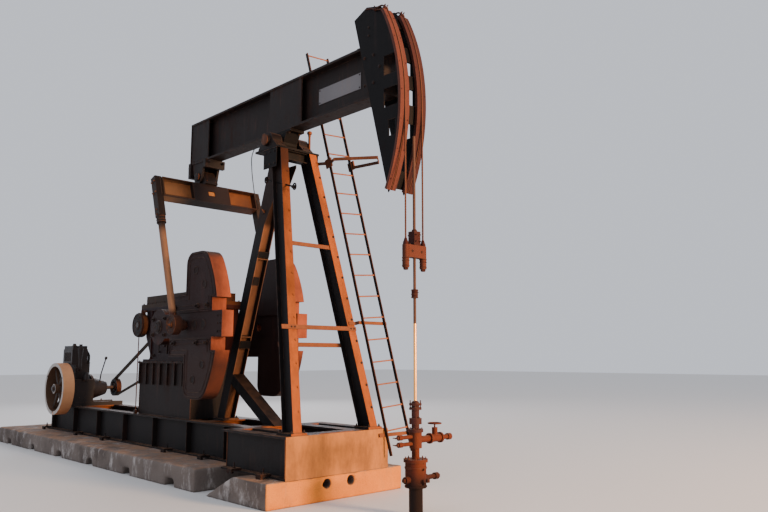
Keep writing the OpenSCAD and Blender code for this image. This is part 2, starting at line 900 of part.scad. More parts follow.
module v_belts() {
  bulge = 1 / cos(4);
  color("black") for (i = [0:belt_n - 1]) {
    y = belt_y + (i - (belt_n - 1) / 2) * belt_step;
    side_on(y - belt_w / 2, y + belt_w / 2) difference() {
      polygon(belt_outline(big_belt_r * bulge + belt_t, small_belt_r * bulge + belt_t));
      polygon(belt_outline(big_belt_r * bulge, small_belt_r * bulge));
    }
  }
}

module engine_sills() {
  color("dimgray") for (s = [-1, 1])
    translate([engine_x + s * sill_dx - sill_w / 2, engine_y0 - 20, skid_top])
      cube([sill_w, rail_y - engine_y0 + 20, sill_h]);
}

module engine_block() {
  sill_top = skid_top + sill_h;
  w = engine_y1 - engine_y0;
  base_top = sill_top + engine_base_h;
  color("dimgray") difference() {
    union() {
      translate([engine_x - engine_l / 2, engine_y0, sill_top]) cube([engine_l, w, engine_base_h]);
      translate([engine_x - engine_l / 2 + sill_h, engine_y0 + sill_h, base_top - 1])
        cube([engine_l - 2 * sill_h, w - 2 * sill_h, engine_top - base_top + 1]);
      translate([engine_x, engine_y1 - head_w / 2 - seat, base_top - 1])
        cylinder(r = head_w / 2, h = engine_top - base_top);
    }
    bar_y(engine_x, engine_z, engine_shaft_r + fit, engine_y0 - 1, engine_y1 + 1);
  }
}

module engine_radiator() {
  core_top = radiator_top - tank_h;
  pitch = (radiator_l - 2 * tank_h) / fin_n;
  color("dimgray") translate([engine_x - radiator_l / 2, engine_y0, engine_top]) {
    difference() {
      cube([radiator_l, radiator_w, core_top - engine_top]);
      for (i = [0:fin_n - 1], y = [0, radiator_w])
        translate([tank_h + i * pitch + fin_t, y - fin_t, tank_h])
          cube([pitch - fin_t, 2 * fin_t, core_top - engine_top - 2 * tank_h]);
    }
    translate([fin_t, fin_t, core_top - engine_top])
      cube([radiator_l - 2 * fin_t, radiator_w - 2 * fin_t, tank_h]);
    translate([radiator_l / 3, radiator_w / 2, radiator_top - engine_top])
      cylinder(r = engine_shaft_r, h = fin_t);
  }
}

module engine_shaft() {
  color("gray") bar_y(engine_x, engine_z, engine_shaft_r, flywheel_y - sill_h / 2,
                      belt_y + wheel_w / 2 + input_out);
}

module engine_flywheel() {
  color("lightgray") translate([engine_x, flywheel_y + flywheel_w, engine_z]) rotate([90, 0, 0])
    difference() {
      union() {
        difference() {
          cylinder(r = flywheel_r, h = flywheel_w, $fn = 96);
          translate([0, 0, -1]) cylinder(r = flywheel_r - flywheel_rim, h = flywheel_w + 2, $fn = 96);
        }
        cylinder(r = flywheel_hub_r, h = flywheel_w);
        for (i = [0:spoke_n - 1]) rotate(i * 360 / spoke_n)
          translate([0, -spoke_w / 2, (flywheel_w - spoke_t) / 2])
            cube([flywheel_r - flywheel_rim / 2, spoke_w, spoke_t]);
      }
      translate([0, 0, -1]) cylinder(r = engine_shaft_r + fit, h = flywheel_w + 2);
    }
}

module air_cleaner() {
  bowl_r = 100;
  bowl_h = 240;
  pipe_r = 35;
  color("dimgray") {
    translate([air_x, air_y, air_z]) cylinder(r = bowl_r, h = bowl_h);
    translate([air_x, air_y, air_z + bowl_h]) cylinder(r = bowl_r + flange_out, h = sill_h);
    translate([air_x, air_y, air_z + bowl_h / 2]) rotate([0, 90, 0])
      cylinder(r = pipe_r, h = engine_x - engine_l / 2 - air_x);
  }
}

module clutch_housing() {
  color("dimgray") difference() {
    union() {
      translate([engine_x, engine_y1, engine_z]) rotate([-90, 0, 0])
        cylinder(r1 = clutch_r[0], r2 = clutch_r[1], h = clutch_l);
      bar_y(engine_x, engine_z, clutch_r[0] + flange_out, engine_y1, engine_y1 + 2 * flange_out);
    }
    bar_y(engine_x, engine_z, engine_shaft_r + fit, engine_y1 - 1, engine_y1 + clutch_l + 1);
  }
}

module at_well(z) {
  translate([rod_reach, 0, z]) children();
}

// A round bar across the well axis at height z, from the axis to length l on side s
module branch(z, r, l, s = 1) {
  at_well(z) rotate([-90 * s, 0, 0]) cylinder(r = r, h = l);
}

module casing_head() {
  bands = [(casing_low_z + outlet_z) / 2 - plug_r, (outlet_z + casing_top_z) / 2 + band_out];
  color("firebrick") difference() {
    union() {
      at_well(0) cylinder(r = casing_low_r, h = casing_top_z);
      at_well(casing_low_z) cylinder(r = casing_r, h = casing_top_z - casing_low_z);
      at_well(casing_top_z - casing_flange_t) cylinder(r = casing_flange_r, h = casing_flange_t);
      for (z = bands) at_well(z) cylinder(r = casing_r + band_out, h = 2 * band_out);
      branch(outlet_z, outlet_r, outlet_l);
      branch(outlet_z, plug_r, casing_r + plug_l);
      branch(outlet_z, plug_r, casing_r + plug_l, -1);
      at_well(outlet_z) translate([0, outlet_l, 0]) rotate([-90, 0, 0]) cylinder(r = plug_r, h = plug_l);
    }
    at_well(-1) cylinder(r = 2 * rod_r, h = casing_top_z + 2);
  }
}

module pumping_tee() {
  color("firebrick") difference() {
    union() {
      at_well(casing_top_z) cylinder(r = tee_r, h = tee_top_z - casing_top_z);
      at_well(tee_z - 2 * tee_r) cylinder(r = tee_r + outlet_r, h = 4 * tee_r - 2);
      branch(tee_z, branch_r, tee_arm);
      for (z = [tee_z - branch_r, tee_z + branch_r]) {
        branch(z, bleeder_r, bleeder_l - plug_l, -1);
        at_well(z) translate([0, plug_l - bleeder_l, 0]) rotate([90, 0, 0])
          cylinder(r = bleeder_r + band_out, h = plug_l);
      }
    }
    at_well(casing_top_z - 1) cylinder(r = 2 * rod_r, h = tee_top_z - casing_top_z + 2);
  }
}

// Gate valve on the arm of the tee, with a plugged nipple beyond it
module tee_valve() {
  color("firebrick") at_well(tee_z) translate([0, tee_arm, 0]) {
    rotate([-90, 0, 0]) {
      cylinder(r = valve_r, h = valve_l);
      for (y = [0, valve_l - valve_hub_t]) translate([0, 0, y]) cylinder(r = valve_hub_r, h = valve_hub_t);
      cylinder(r = outlet_r, h = valve_l + 2 * plug_l);
      translate([0, 0, valve_l + 2 * plug_l]) cylinder(r = plug_r, h = plug_l);
    }
    translate([0, valve_l / 2, 0]) {
      cylinder(r = bonnet_r, h = bonnet_h);
      cylinder(r = stem_r, h = stem_h);
      translate([0, 0, stem_h - stem_r]) {
        rotate_extrude() translate([hand_wheel_r, 0]) circle(r = stem_r, $fn = 16);
        for (a = [0, 60, 120]) rotate([0, 0, a]) rotate([0, 90, 0])
          cylinder(r = stem_r / 2, h = 2 * hand_wheel_r, center = true);
      }
    }
  }
}

module stuffing_box() {
  gland_z = stuffing_top_z - 90;
  color("firebrick") difference() {
    union() {
      at_well(tee_top_z) cylinder(r = tee_r, h = stuffing_top_z - tee_top_z);
      at_well(tee_top_z) cylinder(r = tee_r + 2 * bleeder_r, h = casing_flange_t);
      at_well(tee_top_z + 4 * bleeder_r) cylinder(r = tee_r + outlet_r, h = 3 * bleeder_r);
      at_well(gland_z) cylinder(r = tee_r + outlet_r, h = valve_hub_t);
      at_well(gland_z + 2 * valve_hub_t) cylinder(r = tee_r + outlet_r, h = valve_hub_t);
    }
    at_well(tee_top_z - 1) cylinder(r = rod_r + fit, h = stuffing_top_z - tee_top_z + 2);
  }
}

module walking_beam() {
  web_h = beam_h - 2 * beam_flange_t;
  color("dimgray") {
    beam_x(-beam_tail, beam_front, 0, beam_z, beam_h, beam_w, beam_web_t, beam_flange_t);
    for (x = [-beam_tail, beam_front - box_plate_t])
      translate([x, -beam_w / 2, beam_z + beam_flange_t]) cube([box_plate_t, beam_w, web_h]);
    both_sides() for (p = box_plates)
      translate([p[0], beam_w / 2 - 2 * box_plate_t, beam_z + beam_flange_t])
        cube([p[1] - p[0], box_plate_t, web_h]);
  }
}

module sign_plate() {
  color("silver") translate([rod_reach - sign_from_rod, -beam_web_t / 2 - sign_t, beam_z + sign_up])
    cube([sign_l, sign_t, sign_h]);
}

module center_saddle() {
  color("dimgray") {
    translate([-saddle_l / 2, -beam_w / 2, beam_z - saddle_t]) cube([saddle_l, beam_w, saddle_t]);
    side_on(-saddle_y, saddle_y) {
      polygon([[-saddle_foot, beam_z - saddle_t], [saddle_foot, beam_z - saddle_t],
               [saddle_r, pivot_z], [-saddle_r, pivot_z]]);
      translate([0, pivot_z]) circle(r = saddle_r);
    }
    bar_y(0, pivot_z, pivot_r, -block_y - block_t - shaft_out, block_y + block_t + shaft_out);
  }
}

module tail_hanger() {
  color("dimgray") {
    translate([-tail_reach - hanger_l / 2, -hanger_w / 2, beam_z - hanger_t])
      cube([hanger_l, hanger_w, hanger_t]);
    for (s = [0, 1]) translate([-tail_reach + (2 * s - 1) * (hanger_l / 2 + adjuster_t) - s * adjuster_t,
                                -adjuster_w / 2, beam_z - adjuster_h[s]])
      cube([adjuster_t, adjuster_w, adjuster_h[s]]);
    both_sides() difference() {
      side_on(lug_y, lug_y + lug_t) {
        polygon([[-tail_reach - lug_foot, beam_z - hanger_t], [-tail_reach + lug_foot, beam_z - hanger_t],
                 [-tail_reach + lug_r, tail_z], [-tail_reach - lug_r, tail_z]]);
        translate([-tail_reach, tail_z]) circle(r = lug_r);
      }
      bar_y(-tail_reach, tail_z, tail_r + fit, lug_y - 1, lug_y + lug_t + 1);
    }
  }
}

module head_outline() {
  difference() {
    polygon(concat(
      [for (c = head_corners) [rod_reach + c[0], pivot_z + c[1]]],
      arc([0, pivot_z], track_r0 - seat, head_up, -head_down, 32)));
    for (w = windows) translate([rod_reach + w[0], pivot_z + w[1]]) square([w[2], w[3]]);
  }
}

module head_plates() {
  color("dimgray") both_sides() side_on(head_plate_y, head_plate_y + head_plate_t) head_outline();
}

module head_tracks() {
  color("chocolate") both_sides() difference() {
    arc_band(track_r0, rod_reach, rope_y - track_w / 2, rope_y + track_w / 2, -head_down, head_up);
    arc_band(groove_r, rod_reach + 1, rope_y - groove_w / 2, rope_y + groove_w / 2,
             -head_down - 1, head_up + 1);
  }
}

module head_ties() {
  color("dimgray") for (a = tie_angles)
    arc_band(track_r0 - tie_t - tie_in, track_r0 - tie_in, -head_plate_y, head_plate_y, a[0], a[1]);
}

module head_ropes() {
  color("saddlebrown") both_sides() translate([0, 0, pivot_z]) rotate([90, 0, 0])
    rotate_extrude(angle = head_up, $fn = 180) translate([rod_reach, -rope_y]) circle(r = rope_r, $fn = 16);
}

// Draws a piece in the tilted frame of the equalizer, whose origin is the tail bearing
module at_tail() {
  translate([-tail_reach, 0, tail_z]) rotate([0, -lean, 0]) children();
}

module equalizer_beam() {
  low = -equalizer_drop - equalizer_h;
  clear_h = equalizer_h - 2 * equalizer_t;
  color("dimgray") at_tail() {
    beam_y(0, -equalizer_y, equalizer_y, low, equalizer_h, equalizer_w, equalizer_web_t, equalizer_t);
    for (y = [-equalizer_y, -cover_y, cover_y - end_plate_t, equalizer_y - end_plate_t])
      translate([-equalizer_w / 2, y, low]) cube([equalizer_w, end_plate_t, equalizer_h]);
    for (s = [-1, 1]) translate([s * (equalizer_w - cover_t) / 2, 0, low + equalizer_h / 2]) difference() {
      cube([cover_t, 2 * cover_y, clear_h], center = true);
      cube([2 * cover_t, cover_window[0], cover_window[1]], center = true);
    }
  }
}

module equalizer_bearing() {
  base = 50;
  color("dimgray") at_tail() {
    side_on(-tail_block_y, tail_block_y) {
      polygon([[-tail_block_foot, -equalizer_drop], [tail_block_foot, -equalizer_drop],
               [tail_block_foot, -equalizer_drop + base], [tail_block_r, 0],
               [-tail_block_r, 0], [-tail_block_foot, -equalizer_drop + base]]);
      circle(r = tail_block_r);
    }
    bar_y(0, 0, tail_r, -lug_y - lug_t - shaft_out, lug_y + lug_t + shaft_out);
  }
}

module pitman(s) {
  y0 = pitman_y - pitman_t / 2;
  color("peru") mirror([0, (1 - s) / 2, 0]) at_tail() {
    translate([-pitman_w / 2, y0, -block_drop])
      cube([pitman_w, pitman_t, block_drop - equalizer_drop + end_plate_t]);
    translate([0, pitman_y, -collar_drop]) cylinder(r = collar_r, h = collar_drop - block_drop);
    translate([0, pitman_y, -pitman_l]) cylinder(r = pitman_r, h = pitman_l - collar_drop);
    bar_y(0, -pitman_l, wrist_r, y0, y0 + pitman_t);
    bar_y(0, -pitman_l, boss_r, weight_face + play, y0);
    bar_y(0, -pitman_l, wrist_pin_r, crank_face + play, y0);
  }
}

module crankshaft() {
  color("gray") bar_y(crank_x, crank_z, crankshaft_r, -crank_face - shaft_out, crank_face + shaft_out);
}

module crank(s) {
  color("dimgray") translate([0, s * crank_y, 0]) difference() {
    side_on(-crank_t / 2, crank_t / 2) translate([crank_x, crank_z]) {
      circle(r = crank_hub_r);
      translate([0, -crank_half_h]) square([crank_tip, 2 * crank_half_h]);
    }
    bar_y(crank_x, crank_z, crankshaft_r + fit, -crank_t, crank_t);
    bar_y(crank_x + crank_throw, crank_z, pin_hole_r, -crank_t, crank_t);
  }
}

// Outline of one counterweight, from the shaft along the crank and up
module weight_outline() {
  corner = [weight_rim_r - front_round, weight_top - front_round];
  corner_u = sqrt(corner.x * corner.x - corner.y * corner.y);
  polygon(concat(
    [[step_u, crank_half_h], [step_u, step_v], [dome_u, step_v]],
    arc([dome_u + back_round, weight_top - back_round], back_round, 180, 90, 8),
    arc([corner_u, corner.y], front_round, 90, atan2(corner.y, corner_u), 8),
    arc([0, 0], weight_rim_r, atan2(corner.y, corner_u), asin(rim_v / weight_rim_r), 12),
    [[lug_u, rim_v], [lug_u, crank_half_h]]));
}

module weights(s) {
  color("sienna") translate([crank_x, s * crank_y, crank_z]) for (m = [0, 1]) mirror([0, 0, m])
    side_on(-weight_t / 2, weight_t / 2) weight_outline();
}

module polished_rod() {
  color("silver") at_well(rod_foot_z) cylinder(r = rod_r, h = pivot_z - rod_top_drop - rod_foot_z);
}

module carrier_bar() {
  color("sienna") difference() {
    union() {
      at_well(carrier_z) translate([-carrier_w / 2, -carrier_l / 2, 0])
        cube([carrier_w, carrier_l, carrier_h]);
      for (s = [-1, 1]) at_well(carrier_z + carrier_h - socket_h) translate([0, s * rope_y, 0])
        cylinder(r = socket_r, h = socket_h);
    }
    at_well(carrier_z - 1) cylinder(r = rod_r + fit, h = carrier_h + 2);
  }
}

module rod_clamp() {
  color("sienna") {
    difference() {
      at_well(carrier_z + carrier_h) translate([-clamp_w / 2, -clamp_w / 2, 0])
        cube([clamp_w, clamp_w, clamp_h]);
      at_well(carrier_z + carrier_h - 1) cylinder(r = rod_r + fit, h = clamp_h + 2);
    }
    difference() {
      at_well(rod_collar_z) cylinder(r = rod_collar_r, h = rod_collar_h);
      at_well(rod_collar_z - 1) cylinder(r = rod_r + fit, h = rod_collar_h + 2);
    }
  }
}

module bridle_ropes() {
  color("saddlebrown") for (s = [-1, 1]) at_well(carrier_z + carrier_h) translate([0, s * rope_y, 0])
    cylinder(r = rope_r, h = pivot_z - carrier_z - carrier_h, $fn = 16);
}

front_footing();
rear_footings();
skid_side(-1);  // skid_side_near
skid_side(1);  // skid_side_far
skid_rails();
skid_cross_beams();
skid_front_plate();
front_leg(-1);  // front_leg_near
front_leg(1);  // front_leg_far
rear_leg();
leg_bars();
knee_brace();
post_top();
center_bearings();
ladder();
ladder_brackets();
reducer_pedestal();
reducer_case();
reducer_cover();
input_shaft();
brake_drum();
brake_band();
reducer_sheave();
v_belts();
engine_sills();
engine_block();
engine_radiator();
engine_shaft();
engine_flywheel();
air_cleaner();
clutch_housing();
engine_sheave();
casing_head();
pumping_tee();
tee_valve();
stuffing_box();
walking_beam();
sign_plate();
center_saddle();
tail_hanger();
head_plates();
head_tracks();
head_ties();
head_ropes();
equalizer_beam();
equalizer_bearing();
pitman(-1);  // pitman_near
pitman(1);  // pitman_far
crankshaft();
crank(-1);  // crank_near
crank(1);  // crank_far
weights(-1);  // weights_near
weights(1);  // weights_far
polished_rod();
carrier_bar();
rod_clamp();
bridle_ropes();
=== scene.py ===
# %% [markdown]
# # Dressing a beam pumping unit
# The frame brings in every forged, cast and rolled piece at its real size and place, together with
# the joints that move them. This lesson adds what the frame leaves out: the finish of each surface,
# the bolts, welds, ropes and hoses, a floor, soft lights and a camera at the viewpoint of the picture.
# Everything is in metres. +X points at the well, +Y to the ladder side and +Z up.

# %% Load the frame
import json
import math
import bmesh
import bpy
from mathutils import Matrix, Vector, noise


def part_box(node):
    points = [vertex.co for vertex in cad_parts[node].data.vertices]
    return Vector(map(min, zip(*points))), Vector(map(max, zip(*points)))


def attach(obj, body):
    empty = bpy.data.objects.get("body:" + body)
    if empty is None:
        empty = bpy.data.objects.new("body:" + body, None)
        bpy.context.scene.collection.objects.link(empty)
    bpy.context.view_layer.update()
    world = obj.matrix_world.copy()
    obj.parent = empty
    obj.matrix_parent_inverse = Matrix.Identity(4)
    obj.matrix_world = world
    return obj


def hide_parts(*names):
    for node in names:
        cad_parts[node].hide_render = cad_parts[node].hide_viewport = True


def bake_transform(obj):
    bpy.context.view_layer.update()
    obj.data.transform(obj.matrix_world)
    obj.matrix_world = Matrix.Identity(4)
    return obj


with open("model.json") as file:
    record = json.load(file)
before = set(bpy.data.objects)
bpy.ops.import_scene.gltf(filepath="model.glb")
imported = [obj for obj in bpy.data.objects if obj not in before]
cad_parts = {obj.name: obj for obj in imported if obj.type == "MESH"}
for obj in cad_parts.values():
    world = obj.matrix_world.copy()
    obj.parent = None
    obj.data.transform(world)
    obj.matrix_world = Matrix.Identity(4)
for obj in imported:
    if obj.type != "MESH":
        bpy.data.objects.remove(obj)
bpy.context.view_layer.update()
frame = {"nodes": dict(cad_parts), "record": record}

# %% [markdown]
# ## Camera
# The picture was taken from the well side, near the height of the eyes. The viewpoint comes from the
# known distances between bearings, so the same lens and turn frame the model as in the picture. A
# camera can be placed by eye too, but measured numbers are the same in every run.

# %% Set up the camera
IMAGE_W = 768
FOCAL_PX = 727.0
SENSOR_MM = 36.0
camera_data = bpy.data.cameras.new("camera")
camera_data.sensor_width = SENSOR_MM
camera_data.lens = FOCAL_PX / IMAGE_W * SENSOR_MM
camera_data.clip_end = 200.0
camera = bpy.data.objects.new("camera", camera_data)
camera.location = (9.178, -6.612, 1.891)
camera.rotation_euler = (math.radians(97.99), 0.0, math.radians(46.3))
bpy.context.scene.collection.objects.link(camera)
bpy.context.scene.camera = camera
print("lens", round(camera_data.lens, 2), "mm")

# %% [markdown]
# ## Floor and light
# A low sun reaches the side that faces the well and leaves the near side in shade. A large warm
# panel on the well side does the same in a studio, and two weaker cool panels fill the shade.
# Area lights are chosen because their size keeps the shadows soft.

# %% Floor and world
def new_material(name):
    """An empty node material with its node tree and main shader."""
    material = bpy.data.materials.new(name)
    material.use_nodes = True
    return material, material.node_tree, material.node_tree.nodes["Principled BSDF"]


floor_material, tree, shader = new_material("pale floor")
shader.inputs["Base Color"].default_value = (0.70, 0.68, 0.66, 1.0)
shader.inputs["Roughness"].default_value = 0.9
FLOOR_SIZE = 160.0
bpy.ops.mesh.primitive_plane_add(size=FLOOR_SIZE, location=(0.0, 0.0, -0.001))
floor = bpy.context.object
floor.name = "floor"
floor.data.materials.append(floor_material)

world = bpy.data.worlds.new("studio")
bpy.context.scene.world = world
world.use_nodes = True
world.node_tree.nodes["Background"].inputs["Color"].default_value = (0.86, 0.90, 1.0, 1.0)
world.node_tree.nodes["Background"].inputs["Strength"].default_value = 0.85


def panel(name, place, target, size, watts, colour):
    """A square soft light at a place, turned to a target."""
    data = bpy.data.lights.new(name, "AREA")
    data.shape = "SQUARE"
    data.size = size
    data.energy = watts
    data.color = colour
    light = bpy.data.objects.new(name, data)
    light.location = place
    light.rotation_euler = (Vector(target) - Vector(place)).to_track_quat("-Z", "Y").to_euler()
    bpy.context.scene.collection.objects.link(light)
    return light


panel("low warm panel", (26.0, 6.0, 6.0), (0.0, 0.0, 3.0), 5.0, 15000.0, (1.0, 0.60, 0.32))
panel("cool near panel", (2.0, -20.0, 12.0), (-2.0, 0.0, 3.0), 10.0, 600.0, (0.86, 0.92, 1.0))
panel("cool back panel", (-18.0, 10.0, 9.0), (-2.0, 0.0, 3.0), 8.0, 900.0, (0.88, 0.92, 1.0))
print("three panels")

# %% [markdown]
# ## Shared surface effects
# Real weathering repeats on every piece at its own strength: broad patches of rust, fine speckle,
# streaks that run down, dust that settles on top, and worn edges. Each effect is a node group with
# named inputs, built once, that puts out a mask. Masks are mixed into colours inside each material.
# A painted texture could do this too, but it needs an unwrapped mesh, and noise in space doesn't.

# %% Helpers for node groups
def new_group(name, inputs, output):
    """A shader node group. inputs are (name, default) pairs, output is (name, socket type)."""
    group = bpy.data.node_groups.new(name, "ShaderNodeTree")
    for label, value in inputs:
        socket = group.interface.new_socket(label, in_out="INPUT", socket_type="NodeSocketFloat")
        socket.default_value = value
    group.interface.new_socket(output, in_out="OUTPUT", socket_type="NodeSocketFloat")
    return group, group.nodes.new("NodeGroupInput").outputs, group.nodes.new("NodeGroupOutput").inputs[output]


def put_out(group, value, result):
    """Links a value to the output of a group and prints the size of the group."""
    group.links.new(value, result)
    print(group.name, len(group.nodes), "nodes")


# %% Helpers for sockets and numbers
def feed(tree, socket, value):
    """Sets a socket to a number or a colour, or links another socket to it."""
    if isinstance(value, (int, float)):
        socket.default_value = value
    elif isinstance(value, tuple):
        socket.default_value = (*value, 1.0)[:len(socket.default_value)]
    else:
        tree.links.new(value, socket)


def add_math(tree, operation, a, b, clamp=False):
    """A Math node whose inputs are sockets or numbers. Returns its output."""
    node = tree.nodes.new("ShaderNodeMath")
    node.operation = operation
    node.use_clamp = clamp
    feed(tree, node.inputs[0], a)
    feed(tree, node.inputs[1], b)
    return node.outputs[0]


def product(tree, first, *others, clamp=False):
    """Multiplies sockets and numbers in turn. clamp keeps each result from 0 to 1."""
    for factor in others:
        first = add_math(tree, "MULTIPLY", first, factor, clamp)
    return first


# %% Helpers for noise, steps and mixes
def add_noise(tree, scale, detail=4.0, rough=0.6, stretch=(1.0, 1.0, 1.0)):
    """A noise texture in object space, stretched along the axes. Returns its value from 0 to 1."""
    mapping = tree.nodes.new("ShaderNodeMapping")
    mapping.inputs["Scale"].default_value = stretch
    tree.links.new(tree.nodes.new("ShaderNodeTexCoord").outputs["Object"], mapping.inputs["Vector"])
    texture = tree.nodes.new("ShaderNodeTexNoise")
    texture.inputs["Detail"].default_value = detail
    texture.inputs["Roughness"].default_value = rough
    feed(tree, texture.inputs["Scale"], scale)
    tree.links.new(mapping.outputs["Vector"], texture.inputs["Vector"])
    return texture.outputs["Fac"]


def add_step(tree, value, low, high):
    """A smooth step from 0 at low to 1 at high. low and high are sockets or numbers."""
    node = tree.nodes.new("ShaderNodeMapRange")
    node.interpolation_type = "SMOOTHSTEP"
    tree.links.new(value, node.inputs["Value"])
    feed(tree, node.inputs["From Min"], low)
    feed(tree, node.inputs["From Max"], high)
    return node.outputs["Result"]


def add_mix(tree, mask, a, b):
    """A colour mix. a and b are sockets or colours of three numbers. Returns the mixed colour."""
    node = tree.nodes.new("ShaderNodeMix")
    node.data_type = "RGBA"
    feed(tree, node.inputs[0], mask)
    feed(tree, node.inputs[6], a)
    feed(tree, node.inputs[7], b)
    return node.outputs[2]


def add_axes(tree, source):
    """The X, Y and Z of an output of the Texture Coordinate node."""
    split = tree.nodes.new("ShaderNodeSeparateXYZ")
    tree.links.new(tree.nodes.new("ShaderNodeTexCoord").outputs[source], split.inputs["Vector"])
    return split.outputs


# %% Helpers for relief and groups
def add_relief(tree, shader, height, distance, strength):
    """A bump from a height. distance is in metres."""
    relief = tree.nodes.new("ShaderNodeBump")
    relief.inputs["Distance"].default_value = distance
    relief.inputs["Strength"].default_value = strength
    tree.links.new(height, relief.inputs["Height"])
    tree.links.new(relief.outputs["Normal"], shader.inputs["Normal"])


def place_group(tree, group, **values):
    """Places a node group and sets its inputs. Returns its output."""
    node = tree.nodes.new("ShaderNodeGroup")
    node.node_tree = group
    for label, value in values.items():
        feed(tree, node.inputs[label.replace("_", " ")], value)
    return node.outputs[0]


# %% Rust patches
rust_group, given, result = new_group("rust patches", [("Amount", 0.5), ("Patch Size", 1.4)], "Mask")
broad = add_noise(rust_group, given["Patch Size"], 6.0, 0.65)
fine = add_noise(rust_group, 38.0, 5.0, 0.7)
streak = add_noise(rust_group, 9.0, 4.0, 0.6, (1.0, 1.0, 0.12))
total = add_math(rust_group, "ADD", product(rust_group, broad, 0.55), product(rust_group, streak, 0.25))
total = add_math(rust_group, "ADD", total, product(rust_group, fine, 0.20))
threshold = add_math(rust_group, "SUBTRACT", 0.78, product(rust_group, given["Amount"], 0.52))
upper = add_math(rust_group, "ADD", threshold, 0.16)
put_out(rust_group, add_step(rust_group, total, threshold, upper), result)

# %% Worn edges
edge_group, given, result = new_group("worn edges", [("Width", 0.012), ("Strength", 1.0)], "Mask")
bevel = edge_group.nodes.new("ShaderNodeBevel")
bevel.samples = 4
edge_group.links.new(given["Width"], bevel.inputs["Radius"])
dot = edge_group.nodes.new("ShaderNodeVectorMath")
dot.operation = "DOT_PRODUCT"
edge_group.links.new(bevel.outputs["Normal"], dot.inputs[0])
edge_group.links.new(edge_group.nodes.new("ShaderNodeNewGeometry").outputs["Normal"], dot.inputs[1])
bent = add_step(edge_group, add_math(edge_group, "SUBTRACT", 1.0, dot.outputs["Value"]), 0.01, 0.10)
chips = add_step(edge_group, add_noise(edge_group, 14.0, 5.0, 0.7), 0.40, 0.60)
put_out(edge_group, product(edge_group, bent, chips, given["Strength"], clamp=True), result)

# %% [markdown]
# The side that faces the well is orange, partly from rust where it takes the wind and partly as
# painted sunlight, since a low sun lights that side. Faces deep inside a leg are kept dark as painted
# shade, so the mask also asks how far forward a point is, along a line that leans with the leg, and
# how far it is from the middle. Painting the mask by hand would have to be done again for each piece,
# and a rule works for all of them.

# %% Rust and painted sunlight on the well side
rust_and_sun_group, given, result = new_group(
    "rust and painted sun side", [("Strength", 0.8), ("Lean", 0.0), ("Front", -100.0), ("Out", -1.0)], "Mask")
facing = add_step(rust_and_sun_group, add_axes(rust_and_sun_group, "Normal")["X"], 0.45, 0.95)
axes = add_axes(rust_and_sun_group, "Object")
forward = add_math(rust_and_sun_group, "ADD", axes["X"], product(rust_and_sun_group, axes["Z"], given["Lean"]))
outward = add_math(rust_and_sun_group, "ABSOLUTE", axes["Y"], 0.0)
# Points behind Front or nearer the middle than Out get no orange; in the legs this keeps the faces inside the
# section dark as painted shade.
inside = product(rust_and_sun_group, add_math(rust_and_sun_group, "GREATER_THAN", forward, given["Front"]),
                 add_math(rust_and_sun_group, "GREATER_THAN", outward, given["Out"]))
uneven = add_step(rust_and_sun_group, add_noise(rust_and_sun_group, 3.0, 6.0, 0.7, (1.0, 1.0, 0.35)), 0.30, 0.62)
soft = add_math(rust_and_sun_group, "ADD", product(rust_and_sun_group, uneven, 0.45), 0.55)
put_out(rust_and_sun_group, product(rust_and_sun_group, facing, inside, soft, given["Strength"], clamp=True), result)

# %% [markdown]
# Dust settles where a surface faces up, rain draws thin vertical runs, and the skin of old steel is
# grainy. A noise that is stretched along Z makes the runs, and the other two need no direction.

# %% Settled dust
dust_group, given, result = new_group("settled dust", [("Strength", 0.5)], "Mask")
level = add_step(dust_group, add_axes(dust_group, "Normal")["Z"], 0.55, 0.95)
patchy = add_step(dust_group, add_noise(dust_group, 2.6, 7.0, 0.7), 0.32, 0.66)
put_out(dust_group, product(dust_group, level, patchy, given["Strength"], clamp=True), result)

# %% Rain streaks
streak_group, given, result = new_group("rain streaks", [("Scale", 16.0), ("Strength", 0.5)], "Mask")
runs = add_noise(streak_group, given["Scale"], 3.0, 0.55, (1.0, 1.0, 0.05))
runs = add_step(streak_group, runs, 0.52, 0.70)
broken = add_step(streak_group, add_noise(streak_group, 2.0, 5.0, 0.6), 0.42, 0.62)
put_out(streak_group, product(streak_group, runs, broken, given["Strength"], clamp=True), result)

# %% Grain for the bump
grain_group, given, result = new_group("metal grain", [("Scale", 120.0), ("Dents", 0.3)], "Height")
grit = add_noise(grain_group, given["Scale"], 3.0, 0.6)
dents = product(grain_group, add_noise(grain_group, 6.0, 2.0, 0.5), given["Dents"])
put_out(grain_group, add_math(grain_group, "ADD", grit, dents), result)

# %% [markdown]
# ## Finishes
# The steel and the castings share one recipe: old dark paint, brown rust that spreads in patches,
# orange on the side that faces the well, partly rust and partly painted sunlight, rain streaks, dust on
# top and bare metal at worn edges. Each finish sets its own colours and amounts. Roughness rises where
# there is rust. One function makes them all, because two dozen materials made by hand would drift apart.

# %% Recipe for weathered metal
DUST = (0.30, 0.155, 0.085)


